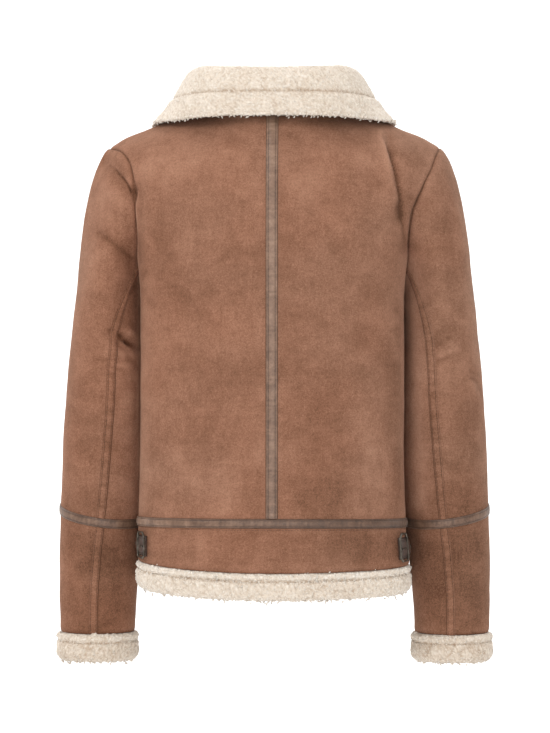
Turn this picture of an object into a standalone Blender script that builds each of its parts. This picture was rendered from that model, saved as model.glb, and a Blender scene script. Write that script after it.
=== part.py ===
"""A short jacket of suede bonded to curly pile, filled out as it hangs on its wearer.

Sizes and tables are in millimetres and the meshes in metres. +X is the wearer's right, +Y the
way the wearer faces, +Z up. The origin is in the middle of the neck, level with the points where
the shoulder seams meet it. Every piece is a wall: an outer sheet of points and an inner sheet
behind it, joined at their edges. Neighbouring pieces share the points of their seam, and each
draws back from it a little, so they lie side by side without touching.
"""
import math

import bmesh
import bpy
import numpy as np
from mathutils import Matrix

MM = 0.001

# Cloth and seams
WALL = 5.0                # suede and its pile
COLLAR_WALL = 8.0
SEAM_EASE = 0.18          # how far each piece draws back from its seam
LAY = 0.4                 # air under a strip that lies on a panel
LEATHER = 1.5             # thickness of the leather strips
LAPPED = 1.2              # height of the raised double-stitched sleeve seam
STRAP = 2.4               # thickness of the side straps
RUN_ON = 0.7              # least cosine between sheets that run on into each other
SHARPEST_MITRE = 0.75     # least cosine used where two walls meet at an angle

# Widths
BACK_STRIP_HALF = 6.0
WAIST_STRIP_HALF = 5.8
SLEEVE_SEAM_HALF = 5.5
ZIP_HALF = 7.0            # from the middle of the zip to a front panel's edge

# Heights along the torso, as levels: the tables' rows lie between them
WAIST_LEVEL = 0.0
TOP_LEVEL = 2.0           # neck edge and shoulder seam
YOKE_LEVEL = 1.68         # from here up the rows turn forward over the shoulders

# How the right side differs from the left: its side seam lies further in
RIGHT_COLUMNS = ("level", "back_x", "back_y", "back_z", "front_x", "front_z")
RIGHT_SIDE = (
    (-1.65, 1.0, 0, -3, 1.0, -3),
    (-1.00, 0.5, 0, -6, 0.5, -6),
    (-0.50, -1.0, 0, -4, -1.0, -4),
    (0.00, -4.5, 0, -2, -4.5, -2),
    (0.25, -4.5, 0, -1, -4.5, -1),
    (0.50, -3.0, 0, 0, -3.0, 0),
    (0.90, -4.0, 0, 0, -4.0, 0),
    (1.00, -4.0, 0, 0, -4.0, 0),
    (1.18, -2.0, 0, 0, -2.0, 0),
    (1.32, 0.0, 0, 0, 0.0, 0),
    (2.00, 0.0, 0, 0, 0.0, 0),
)

# The torso's rows on one side of the back and of the front. Each row runs from the centre to the
# side as one curve with a handle at each end, and the armhole cuts it off at a share of its way.
ROW_COLUMNS = ("level", "centre_y", "centre_z", "centre_pull", "edge_x", "edge_y", "edge_z",
               "pull_x", "pull_y", "pull_z", "cut")
BACK_ROWS = (
    (-1.65, -133, -612.0, 105, 157.0, 0, -600, 41, -85, 0, 1.0),
    (-1.00, -133, -578.5, 105, 157.0, 0, -568, 41, -85, 0, 1.0),
    (0.00, -132, -518.6, 105, 155.5, 0, -520.5, 44, -85, 0, 1.0),
    (0.50, -128, -380.0, 105, 151.0, 2, -380, 48, -82, 0, 1.0),
    (1.00, -128, -235.0, 105, 154.0, 5, -235, 45, -80, 0, 1.0),
    (1.08, -128, -221.0, 105, 154.5, 5, -228, 45, -80, 0, 0.93),
    (1.18, -128, -203.0, 105, 155.5, 5, -209, 45, -80, 0, 0.86),
    (1.32, -128, -177.0, 105, 157.0, 5, -179, 45, -80, 0, 0.77),
)
FRONT_ROWS = (
    (-1.65, 130, -612.0, 100, 157.0, 0, -600, 14, 80, 0, 1.0),
    (-1.00, 130, -578.5, 100, 157.0, 0, -568, 14, 80, 0, 1.0),
    (0.00, 128, -520.0, 100, 155.5, 0, -520.5, 14, 80, 0, 1.0),
    (0.50, 127, -380.0, 100, 151.0, 2, -380, 16, 78, 0, 1.0),
    (1.00, 130, -235.0, 98, 154.0, 5, -235, 16, 76, 0, 1.0),
    (1.08, 129, -223.0, 98, 154.0, 5, -228, 16, 75, 0, 0.93),
    (1.18, 127, -207.0, 98, 154.0, 5, -209, 16, 74, 0, 0.85),
    (1.32, 124, -186.0, 97, 154.5, 5, -181, 16, 72, 0, 0.75),
)
# Above that the rows end at the armhole itself and turn forward over the shoulder
YOKE_COLUMNS = ROW_COLUMNS[:-1]
BACK_YOKE = (
    (1.48, -126, -148.0, 84, 168.5, -62, -143, -22, -38, 0),
    (1.62, -123, -118.0, 84, 170.5, -65, -110, -32, -33, 0),
    (1.745, -118, -88.0, 83, 175.5, -56, -84, -34, -34, 6),
    (1.87, -106, -56.0, 80, 188.0, -34, -65, -40, -36, 10),
    (1.94, -98, -40.0, 80, 198.0, -16, -60, -40, -35, 13),
    (2.00, -90, -26.0, 80, 206.5, 0, -57.5, -40, -35, 16),
)
FRONT_YOKE = (
    (1.48, 119, -164.0, 80, 157.5, 63, -145, -20, 38, 0),
    (1.62, 112, -142.0, 78, 161.0, 64, -113, -27, 34, 0),
    (1.745, 105, -120.0, 78, 169.0, 52, -87, -30, 36, 4),
    (1.87, 96, -98.0, 76, 186.0, 30, -67, -36, 36, 8),
    (1.94, 91, -87.0, 74, 197.0, 14, -61, -38, 33, 11),
    (2.00, 86, -76.0, 72, 206.5, 0, -57.5, -40, 30, 14),
)
# The neck edge, then the shoulder seam, from the centre outwards
NECK_BACK = ((0, -90, -26), (28, -87, -25), (54, -68, -17), (72, -36, -7), (78, 0, 0))
NECK_FRONT = ((7, 86, -76), (34, 82, -68), (58, 64, -48), (73, 34, -22), (78, 0, 0))
SHOULDER = ((78, 0, 0), (118, 0, -16.5), (157, 0, -33.5), (188, 0, -46), (206.5, 0, -57.5))

# The sleeve's level rings, then its slanted strip and wrist
RING_COLUMNS = ("drop", "inner_x", "outer_x", "back_y", "front_y", "seam_in")
SLEEVE_RINGS = (
    (290, 162.5, 254.0, -57, 78, 15.0),
    (330, 160.0, 258.5, -54, 74, 12.0),
    (380, 158.0, 262.5, -48, 71, 10.5),
    (430, 158.5, 265.5, -43, 68, 8.0),
    (480, 160.5, 267.5, -38, 65, 5.5),
    (525, 163.5, 269.0, -34, 62, 3.0),
    (570, 168.5, 270.0, -31, 59, 1.0),
    (620, 173.5, 270.0, -29, 57, 0.0),
    (663, 175.5, 268.5, -28, 56, 0.0),
)
BICEPS_DROP = 290
WRIST_DROP = 663
FRONT_SEAM_TURN = -112.0  # degrees from the outer side, round by the front
STRIP_DROP = 515.5        # middle of the sleeve's leather strip
STRIP_OUTER_RISE = 7.0
STRIP_BACK_DROP = 8.3
# How the sleeve leaves the armhole and arrives at the biceps ring, by degrees from the shoulder
CAP_COLUMNS = ("turn", "leave_x", "leave_y", "leave_z", "arrive_x", "arrive_y", "arrive_z")
SLEEVE_CAP = (
    (0, 95, 0, -78, 22, 0, -240),
    (45, 85, 18, -62, 14, 0, -220),
    (90, 60, 26, -46, 6, -8, -190),
    (135, 28, 14, -38, 10, -6, -100),
    (150, 22, 9, -34, 12, -4, -75),
    (180, 14, 0, -10, 2, 0, -50),
)

# The collar: its fold and its free edge, from the centre back by the shoulder to the centre front
COLLAR_COLUMNS = ("station", "fold_x", "fold_y", "fold_z", "edge_x", "edge_y", "edge_z",
                  "edge_in", "edge_up")
COLLAR = (
    (0.00, 0, -98, 29, 0, -109, -27, -6, 27),
    (0.35, 52, -86, 31, 61, -98, -27, -3, 27),
    (0.70, 87, -54, 35, 116, -64, -28, 8, 26),
    (1.00, 102, 0, 34, 148.5, 0, -25.5, 20, 24),
    (1.35, 90, 48, 14, 128, 62, -44, 16, 26),
    (1.70, 56, 86, -22, 94, 106, -90, 10, 28),
    (2.00, 17, 98, -56, 54, 124, -130, 8, 30),
)
COLLAR_FOLD_REACH = 12.5
COLLAR_STAND_PULL = 0.45
COLLAR_GROOVE_DEPTH = 1.4
COLLAR_LIFT = 0.9         # above the neck seam

# A pile band's section: how far out from the suede's face, and how far below its edge
BAND_COLUMNS = ("out", "down", "in_out", "in_down")
HEM_BAND = (
    (-0.5, 0.5, -4.6, 0.5),
    (2.8, 1.8, -8.0, 3.0),
    (4.4, 5.0, -9.5, 8.0),
    (2.6, 8.5, -10.0, 13.0),
    (5.0, 12.5, -10.0, 18.0),
    (5.0, 21.5, -10.0, 23.0),
    (3.0, 28.5, -9.0, 28.5),
    (-1.0, 32.5, -5.0, 32.5),
)
CUFF_BAND = (
    (0.6, 0.5, -4.6, 0.5),
    (5.0, 1.6, -6.0, 3.0),
    (6.8, 5.0, -7.0, 8.0),
    (5.6, 9.5, -7.5, 13.0),
    (7.2, 14.0, -7.5, 18.0),
    (7.4, 23.0, -7.5, 24.0),
    (6.0, 29.5, -6.5, 29.5),
    (2.0, 34.0, -3.0, 34.0),
)

# Soft creases (negative) and ridges (positive) as seen square on to the back (face -1) or the
# front (face 1): a line in x and z, its width and its height
CREASE_COLUMNS = ("face", "x0", "z0", "x1", "z1", "width", "height")
CREASES = (
    (-1, -210, -76, -172, -118, 11, -4.5),
    (-1, -212, -98, -180, -136, 12, 2.5),
    (-1, -215, -166, -172, -200, 13, -3.0),
    (-1, -196, -290, -168, -306, 8, -4.0),
    (-1, -200, -318, -176, -326, 9, 2.0),
    (-1, 233, -150, 249, -350, 12, 2.5),
    (-1, 214, -150, 232, -300, 13, -2.0),
    (-1, 196, -300, 216, -284, 8, -3.0),
    (-1, 244, -334, 256, -356, 8, -2.5),
    (-1, 132, -46, 148, -128, 8, 3.0),
    (-1, 141, -50, 156, -150, 6, -4.0),
    (-1, -150, -90, -156, -210, 9, 1.8),
    (-1, 190, -590, 215, -612, 10, -2.0),
    (1, -240, -296, -178, -312, 10, -4.0),
    (1, -238, -336, -182, -330, 11, 2.0),
    (1, 178, -300, 242, -318, 10, -4.0),
    (1, 184, -340, 240, -344, 11, 2.0),
    (1, -214, -84, -168, -150, 12, -4.0),
    (1, 216, -88, 170, -146, 12, -4.0),
    (1, -110, -250, -96, -480, 22, 2.0),
    (1, 104, -240, 92, -470, 22, 2.0),
)
FACING_START = 0.15       # how squarely cloth must face the view before a crease shows on it
FACING_FULL = 0.5

# Where the grids have their rows and columns
ROWS_BELOW = (0.13, 0.27, 0.42, 0.57, 0.72, 0.87)
ARMHOLE_LEVELS = (1.0, 1.05, 1.10, 1.14, 1.18, 1.22, 1.30, 1.39, 1.49, 1.59, 1.69, 1.79, 1.89,
                  2.0)
SEAM_LEVEL = 1.18         # where the sleeve's two seams meet the armhole
NECK_SHARES = (0.2, 0.4, 0.6, 0.8, 1.0)
SHOULDER_SHARES = (0.18, 0.35, 0.60, 0.82, 1.0)
BAND_LEVELS = (0.0, -0.066, -0.25, -0.50, -0.74, -1.0)
WAIST_LAP_LEVEL = 0.0455
STRAP_LEVELS = (-0.25, -0.50, -0.74)
CAP_SHARES = (0.0, 0.12, 0.3, 0.5, 0.75)
SLEEVE_SHARES = (0.0, 0.14, 0.3, 0.5, 0.7, 0.86)
FOREARM_SHARES = (0.33, 0.66, 1.0)
ROW_SAMPLES = 81

# Closure: a zip in the middle of the front
TAPE_EDGE = 6.6
TAPE_MIDDLE = 0.2
TAPE_SET_BACK = 1.5
TAPE_THICKNESS = 1.4
CHAIN_HALF = 2.6
CHAIN_THICKNESS = 2.2
CHAIN_TOP_LEVEL = 1.90
ZIP_LEVELS = (-1.62, -1.0, -0.5, 0.0, 0.25, 0.5, 0.75, 1.0, 1.2, 1.4, 1.6, 1.75, 1.9, 1.985)
SLIDER_LEVEL = 1.945
SLIDER_SIZE = (9.6, 3.2, 12.0)
EAR_SIZE = (1.3, 4.8, 5.0)
EAR_OFFSET = 3.6
PIN_RADIUS = 0.9
PIN_HEIGHT = 2.9          # above the slider's face
EYE_RADIUS = 2.4
EYE_HOLE_RADIUS = 1.4
EYE_LENGTH = 4.6
PULL_SIZE = (8.0, 1.4, 26.0)
PULL_START = 3.7          # from the pin to the wide part
PULL_LEAN = 5.0           # degrees the pull leans in to the zip at rest

# Side buckles
BUCKLE_WIRE = 1.4
BUCKLE_LEVELS = (-0.17, -0.84)
BUCKLE_SHARES = (0.34, 0.50)
BUCKLE_CORNER = 0.12

SUEDE = ("suede", (0.255, 0.127, 0.075), 0.85, 0.0)
LEATHER_FINISH = ("leather", (0.185, 0.115, 0.080), 0.5, 0.0)
DARK_LEATHER = ("dark_leather", (0.045, 0.026, 0.018), 0.5, 0.0)
PILE = ("pile", (0.78, 0.68, 0.55), 0.95, 0.0)
TAPE = ("zip_tape", (0.09, 0.055, 0.04), 0.8, 0.0)
METAL = ("metal", (0.55, 0.53, 0.48), 0.3, 1.0)


def column(table, names, name):
    """One named column of a table."""
    return np.array([row[names.index(name)] for row in table], float)


def smooth_through(knots, values, at):
    """A smooth curve through values at rising knots, which never overshoots them."""
    knots = np.asarray(knots, float)
    values = np.asarray(values, float)
    step = np.diff(knots)
    slope = np.diff(values) / step
    tangent = np.zeros_like(values)
    tangent[0], tangent[-1] = slope[0], slope[-1]
    before, after = slope[:-1], slope[1:]
    together = before * after > 0
    total = np.where(together, before + after, 1.0)
    tangent[1:-1] = np.where(together, 2.0 * before * after / total, 0.0)
    at = np.asarray(at, float)
    i = np.clip(np.searchsorted(knots, at, side="right") - 1, 0, len(knots) - 2)
    t = (at - knots[i]) / step[i]
    return ((2 * t**3 - 3 * t**2 + 1) * values[i] + (t**3 - 2 * t**2 + t) * step[i] * tangent[i]
            + (3 * t**2 - 2 * t**3) * values[i + 1] + (t**3 - t**2) * step[i] * tangent[i + 1])


def read(table, names, key, wanted, at):
    """The wanted columns of a table at values of its key column, as an array of points."""
    knots = column(table, names, key)
    return np.stack([smooth_through(knots, column(table, names, name), at) for name in wanted],
                    axis=-1)


def unit(vectors):
    return vectors / np.maximum(np.linalg.norm(vectors, axis=-1, keepdims=True), 1e-9)


def along(points):
    """Length along a run of points, from its first one."""
    return np.concatenate([[0.0], np.cumsum(np.linalg.norm(np.diff(points, axis=0), axis=1))])


def spread(points, lengths):
    """Points at the given lengths along a run of points."""
    so_far = along(points)
    return np.stack([np.interp(lengths, so_far, points[:, k]) for k in range(3)], axis=-1)


def even_run(points, count):
    """The same run as count evenly spaced points, rounded where it has few of them."""
    points = np.asarray(points, float)
    so_far = along(points)
    fine = np.linspace(0.0, so_far[-1], 4 * count)
    rounded = np.stack([smooth_through(so_far, points[:, k], fine) for k in range(3)], axis=-1)
    return spread(rounded, np.linspace(0.0, along(rounded)[-1], count))


# ---------------------------------------------------------------- the torso's outer sheet

def row_ends(table, names, levels):
    """Start, handle, handle and end of each row's curve."""
    centre = read(table, names, "level", ("centre_y", "centre_z"), levels)
    pull = read(table, names, "level", ("centre_pull",), levels)
    edge = read(table, names, "level", ("edge_x", "edge_y", "edge_z"), levels)
    edge_pull = read(table, names, "level", ("pull_x", "pull_y", "pull_z"), levels)
    start_x = 0.0 if table in (BACK_ROWS, BACK_YOKE) else ZIP_HALF
    start = np.concatenate([np.full((len(levels), 1), start_x), centre], axis=1)
    near_start = start + np.concatenate([pull, np.zeros_like(centre)], axis=1)
    return np.stack([start, near_start, edge + edge_pull, edge])


def cut_off(ends, share):
    """The first share of each curve, as a curve of its own."""
    kept = [ends[0]]
    run = list(ends)
    while len(run) > 1:
        run = [a + share[:, None] * (b - a) for a, b in zip(run, run[1:])]
        kept.append(run[0])
    return np.stack(kept)


def right_shift(face, levels):
    """How far the right side's edge lies from the left's, mirrored."""
    if face < 0:
        return read(RIGHT_SIDE, RIGHT_COLUMNS, "level", ("back_x", "back_y", "back_z"), levels)
    shift = read(RIGHT_SIDE, RIGHT_COLUMNS, "level", ("front_x", "front_z"), levels)
    return np.stack([shift[:, 0], np.zeros(len(shift)), shift[:, 1]], axis=1)


def right_shift(face, levels):
    """How far the right side's edge lies from the left's, mirrored."""
    if face < 0:
        return read(RIGHT_SIDE, RIGHT_COLUMNS, "level", ("back_x", "back_y", "back_z"), levels)
    shift = read(RIGHT_SIDE, RIGHT_COLUMNS, "level", ("front_x", "front_z"), levels)
    return np.stack([shift[:, 0], np.zeros(len(shift)), shift[:, 1]], axis=1)


def row_curves(face, levels, side=-1):
    """Every row's curve, as far as the side seam or the armhole."""
    levels = np.asarray(levels, float)
    rows, yoke = (BACK_ROWS, BACK_YOKE) if face < 0 else (FRONT_ROWS, FRONT_YOKE)
    split = rows[-1][0]
    low = np.minimum(levels, split)
    cut = read(rows, ROW_COLUMNS, "level", ("cut",), low)[:, 0]
    below = cut_off(row_ends(rows, ROW_COLUMNS, low), cut)
    knots = np.concatenate([[split], column(yoke, YOKE_COLUMNS, "level")])
    last = cut_off(row_ends(rows, ROW_COLUMNS, np.array([split])), np.array([rows[-1][-1]]))
    table = np.concatenate([last, row_ends(yoke, YOKE_COLUMNS, knots[1:])], axis=1)
    above = np.stack([np.stack([smooth_through(knots, ends[:, k], np.maximum(levels, split))
                                for k in range(3)], axis=-1) for ends in table])
    curves = np.where((levels <= split)[None, :, None], below, above)
    if side > 0:
        shift = right_shift(face, levels)
        curves[2] += shift
        curves[3] += shift
    return curves


def edge_points(face, levels, side):
    """The side seam below the underarm, and the armhole above it."""
    return row_curves(face, levels, side)[3]


def top_edge(face):
    """Neck edge and shoulder seam as one run, and the share of it that is neck."""
    neck = even_run(NECK_BACK if face < 0 else NECK_FRONT, ROW_SAMPLES)
    shoulder = even_run(SHOULDER, ROW_SAMPLES)
    neck_length, shoulder_length = along(neck)[-1], along(shoulder)[-1]
    return np.concatenate([neck, shoulder[1:]]), neck_length / (neck_length + shoulder_length)


def in_two_parts(row, neck_part):
    """A row as evenly spaced points up to the shoulder point's column, and then beyond it."""
    length = along(row)[-1]
    to_neck = np.linspace(0.0, length * neck_part, ROW_SAMPLES)
    to_edge = np.linspace(length * neck_part, length, ROW_SAMPLES)
    return spread(row, np.concatenate([to_neck, to_edge[1:]]))


def plain_rows(face, levels, neck_part, side=-1):
    """Rows of points from the centre to the edge, before they turn over the shoulders."""
    start, near_start, near_edge, edge = row_curves(face, levels, side)
    t = np.linspace(0.0, 1.0, ROW_SAMPLES)[None, :, None]
    rows = ((1 - t)**3 * start[:, None] + 3 * (1 - t)**2 * t * near_start[:, None]
            + 3 * (1 - t) * t**2 * near_edge[:, None] + t**3 * edge[:, None])
    return np.stack([in_two_parts(row, neck_part) for row in rows])


def torso(side, face, levels, from_centre, neck_shares, shoulder_shares):
    """A grid of points on the outer cloth: a row for each level, and a column for each length
    from the centre, each share of the way to the shoulder point, and each share of the rest."""
    levels = np.asarray(levels, float)
    top, neck_part = top_edge(face)
    rows = plain_rows(face, levels, neck_part, side)
    turn = top - plain_rows(face, [TOP_LEVEL], neck_part)[0]
    climb = np.clip((levels - YOKE_LEVEL) / (TOP_LEVEL - YOKE_LEVEL), 0.0, 1.0)
    forward = climb**1.4
    upward = 1.0 - (1.0 - climb)**2
    rows = rows + np.stack([forward[:, None] * turn[:, 0], forward[:, None] * turn[:, 1],
                            upward[:, None] * turn[:, 2]], axis=-1)
    grid = []
    for row in rows:
        length = along(row)[-1]
        neck_length = along(row)[ROW_SAMPLES - 1]
        fixed = np.asarray(from_centre, float)
        to_neck = fixed[-1] + np.asarray(neck_shares) * (neck_length - fixed[-1])
        to_edge = neck_length + np.asarray(shoulder_shares) * (length - neck_length)
        grid.append(spread(row, np.concatenate([fixed, to_neck, to_edge])))
    grid = np.array(grid)
    grid[:, :, 0] *= side
    return grid


# ---------------------------------------------------------------- the sleeve's outer sheet

def back_seam_turn(drop):
    """Degrees round from the outer side to the seam at the back of the sleeve."""
    ring = read(SLEEVE_RINGS, RING_COLUMNS, "drop", ("inner_x", "outer_x", "seam_in"), drop)
    half = (ring[..., 1] - ring[..., 0]) / 2
    return 90.0 + np.degrees(np.arcsin(ring[..., 2] / half))


def ring_points(turn, drop):
    """Points on the sleeve below the biceps, by degrees round from its outer side."""
    ring = read(SLEEVE_RINGS, RING_COLUMNS, "drop", ("inner_x", "outer_x", "back_y", "front_y"),
                drop)
    angle = np.radians(turn)
    centre_x, half_x = (ring[..., 0] + ring[..., 1]) / 2, (ring[..., 1] - ring[..., 0]) / 2
    centre_y, half_y = (ring[..., 2] + ring[..., 3]) / 2, (ring[..., 3] - ring[..., 2]) / 2
    return np.stack([centre_x + half_x * np.cos(angle), centre_y - half_y * np.sin(angle),
                     -np.asarray(drop, float)], axis=-1)


def strip_drop(turn):
    """The slanted line of the sleeve's leather strip."""
    angle = np.radians(turn)
    return STRIP_DROP - STRIP_OUTER_RISE * np.cos(angle) + STRIP_BACK_DROP * np.sin(angle)


def sleeve_columns(armhole_levels):
    """For the top and the under part: each column's place on the armhole (face, level)."""
    high = [level for level in armhole_levels if level >= SEAM_LEVEL]
    low = [level for level in armhole_levels if level <= SEAM_LEVEL]
    top = [(-1, level) for level in high] + [(1, level) for level in reversed(high[:-1])]
    under = [(-1, level) for level in reversed(low)] + [(1, level) for level in low[1:]]
    return top, under


def column_turns(part, places, drop):
    """Degrees round at a drop, for each of a part's columns, seam to seam. The second column
    lies half a lapped seam's width from the seam at the back."""
    ring = read(SLEEVE_RINGS, RING_COLUMNS, "drop", ("inner_x", "outer_x"), drop)
    half = (ring[..., 1] - ring[..., 0]) / 2
    seam = back_seam_turn(drop)
    lap = np.degrees(SLEEVE_SEAM_HALF / half)
    front = FRONT_SEAM_TURN if part == "top" else FRONT_SEAM_TURN + 360.0
    sign = -1.0 if part == "top" else 1.0
    turns = np.array([face * -180.0 * (TOP_LEVEL - level) for face, level in places])
    if part == "under":
        turns = np.where(turns < 0, turns + 360.0, turns)
    share = (turns - turns[1]) / (turns[-1] - turns[1])
    share = share[None, :] if np.ndim(drop) else share
    lapped = seam + sign * lap
    lapped = lapped[:, None] if np.ndim(drop) else lapped
    result = lapped + share * (front - lapped)
    result[..., 0] = seam
    return result


def sleeve_cap(places, turns, shares, side):
    """Rows from the armhole to the biceps ring."""
    armhole = np.concatenate([edge_points(face, [level], side) for face, level in places])
    biceps = ring_points(turns, np.full(len(places), float(BICEPS_DROP)))
    from_top = np.array([180.0 * (TOP_LEVEL - level) for _, level in places])
    faces = np.array([face for face, _ in places], float)
    leave = read(SLEEVE_CAP, CAP_COLUMNS, "turn", ("leave_x", "leave_y", "leave_z"), from_top)
    arrive = read(SLEEVE_CAP, CAP_COLUMNS, "turn", ("arrive_x", "arrive_y", "arrive_z"), from_top)
    leave[:, 1] *= faces
    arrive[:, 1] *= faces
    t = np.asarray(shares, float)[:, None, None]
    return ((2 * t**3 - 3 * t**2 + 1) * armhole + (t**3 - 2 * t**2 + t) * leave
            + (3 * t**2 - 2 * t**3) * biceps + (t**3 - t**2) * arrive)


def sleeve_rows(part, places, first, last_extra, shares):
    """Rows below the biceps: first is where they start (biceps or strip), shares is how far
    down to the next line, and last_extra adds the row beside the strip."""
    rows = []
    for share in shares:
        turns = column_turns(part, places, float(WRIST_DROP if first == "strip" else STRIP_DROP))
        for _ in range(3):
            line = strip_drop(turns)
            if first == "biceps":
                drop = BICEPS_DROP + share * (line - BICEPS_DROP)
            else:
                drop = line + share * (WRIST_DROP - line)
            turns = np.diagonal(column_turns(part, places, drop)).copy()
        rows.append(ring_points(turns, drop))
    for offset in last_extra:
        turns = column_turns(part, places, float(STRIP_DROP))
        for _ in range(3):
            drop = strip_drop(turns) + offset
            turns = np.diagonal(column_turns(part, places, drop)).copy()
        rows.append(ring_points(turns, drop))
    rows = np.array(rows)
    return rows[np.argsort(-rows[:, 0, 2])]


def sleeve_part(side, part, armhole_levels, cap_shares, shares):
    """The upper sleeve's top or under sheet, from the armhole to the strip."""
    places = sleeve_columns(armhole_levels)[0 if part == "top" else 1]
    turns = column_turns(part, places, float(BICEPS_DROP))
    cap = sleeve_cap(places, turns, cap_shares, side)
    rest = sleeve_rows(part, places, "biceps", (-WAIST_STRIP_HALF, 0.0), shares)
    grid = np.concatenate([cap, rest])
    grid[:, :, 0] *= side
    return grid


def forearm_part(side, part, armhole_levels, shares):
    """The lower sleeve's top or under sheet, from the strip to the wrist."""
    places = sleeve_columns(armhole_levels)[0 if part == "top" else 1]
    grid = sleeve_rows(part, places, "strip", (0.0, WAIST_STRIP_HALF), shares)
    grid[:, :, 0] *= side
    return grid


# ---------------------------------------------------------------- walls

def sheet_normals(grid, inside):
    """Normals of a grid of points, pointing away from the points inside it."""
    down = np.gradient(grid, axis=0)
    across = np.gradient(grid, axis=1)
    normals = unit(np.cross(down, across))
    if np.mean(np.sum(normals * (grid - inside), axis=-1)) < 0:
        normals = -normals
    return normals


def place_key(point):
    return tuple(np.round(np.asarray(point) * 50.0).astype(int))


def share_normals(sheets):
    """Where sheets meet they take the mean of their normals, longer by the mitre. Sheets that
    run on into each other there count as one."""
    met = {}
    for grid, normals in sheets.values():
        for point, normal in zip(grid.reshape(-1, 3), normals.reshape(-1, 3)):
            groups = met.setdefault(place_key(point), [])
            alike = [group for group in groups if np.dot(unit(group[0]), normal) > RUN_ON]
            if alike:
                alike[0][0] = alike[0][0] + normal
            else:
                groups.append([normal])
    mitred = {}
    for key, groups in met.items():
        directions = [unit(group[0]) for group in groups]
        mean = unit(np.sum(directions, axis=0))
        cosine = np.mean([np.dot(mean, direction) for direction in directions])
        mitred[key] = mean / max(cosine, SHARPEST_MITRE)
    shared = {}
    for name, (grid, normals) in sheets.items():
        flat = np.array([mitred[place_key(point)] for point in grid.reshape(-1, 3)])
        shared[name] = (grid, flat.reshape(normals.shape))
    return shared


def crease_height(points, normals):
    """How far the creases and ridges move each point along its normal."""
    height = np.zeros(points.shape[:-1])
    directions = unit(normals)
    for row in CREASES:
        face, x0, z0, x1, z1, width, rise = row
        run = np.array([x1 - x0, z1 - z0], float)
        offset = np.stack([points[..., 0] - x0, points[..., 2] - z0], axis=-1)
        share = np.clip(offset @ run / (run @ run), 0.0, 1.0)
        away = np.linalg.norm(offset - share[..., None] * run, axis=-1)
        facing = (face * directions[..., 1] - FACING_START) / FACING_FULL
        height += np.clip(facing, 0.0, 1.0) * rise * np.exp(-(away / width)**2)
    return height


def draw_back(grid, ease, closed):
    """Move a grid's outer rows and columns a little towards its middle."""
    moved = grid.copy()
    moved[0] += ease * unit(grid[1] - grid[0])
    moved[-1] += ease * unit(grid[-2] - grid[-1])
    if not closed:
        moved[:, 0] += ease * unit(grid[:, 1] - grid[:, 0])
        moved[:, -1] += ease * unit(grid[:, -2] - grid[:, -1])
    return moved


def finish_material(finish):
    name, colour, roughness, metallic = finish
    material = bpy.data.materials.get(name)
    if material is None:
        material = bpy.data.materials.new(name)
        material.use_nodes = True
        shader = material.node_tree.nodes["Principled BSDF"]
        shader.inputs["Base Color"].default_value = (*colour, 1.0)
        shader.inputs["Roughness"].default_value = roughness
        shader.inputs["Metallic"].default_value = metallic
    return material


def add_object(name, mesh, finish, collection):
    piece = bpy.data.objects.new(name, mesh)
    mesh.materials.append(finish_material(finish))
    collection.objects.link(piece)
    return piece


def wall(name, outer, inner, finish, collection, closed=False, ease=SEAM_EASE):
    """A piece of cloth: the outer grid, the inner one behind it, and the edges between them.
    A closed wall's last column meets its first."""
    if ease:
        outer, inner = draw_back(outer, ease, closed), draw_back(inner, ease, closed)
    rows, columns = outer.shape[:2]
    count = columns + 1 if closed else columns
    work = bmesh.new()
    place = work.verts.layers.int.new("place")
    bmesh.ops.create_grid(work, x_segments=count - 1, y_segments=rows - 1, size=1.0)
    work.verts.ensure_lookup_table()
    for index, vertex in enumerate(work.verts):
        row, along_row = divmod(index, count)
        vertex[place] = row * columns + along_row % columns
        vertex.co = outer[row, along_row % columns] * MM
    if closed:
        bmesh.ops.remove_doubles(work, verts=work.verts[:], dist=1e-7)
    grown = bmesh.ops.extrude_face_region(work, geom=work.faces[:], use_keep_orig=True)
    behind = inner.reshape(-1, 3)
    for vertex in grown["geom"]:
        if isinstance(vertex, bmesh.types.BMVert):
            vertex.co = behind[vertex[place]] * MM
    bmesh.ops.triangulate(work, faces=work.faces[:], quad_method="SHORT_EDGE")
    bmesh.ops.recalc_face_normals(work, faces=work.faces[:])
    mesh = bpy.data.meshes.new(name)
    work.to_mesh(mesh)
    work.free()
    mesh.shade_smooth()
    mesh.set_sharp_from_angle(angle=math.radians(50))
    return add_object(name, mesh, finish, collection)


def lay_on(name, grid, normals, thickness, finish, collection, closed=False):
    """A strip that lies on a panel, made from the panel's own points moved out."""
    directions = unit(normals)
    return wall(name, grid + directions * (LAY + thickness), grid + directions * LAY, finish,
                collection, closed)


# ---------------------------------------------------------------- the jacket's sheets

def body_levels():
    return (WAIST_LEVEL, WAIST_LAP_LEVEL) + ROWS_BELOW + ARMHOLE_LEVELS


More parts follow.
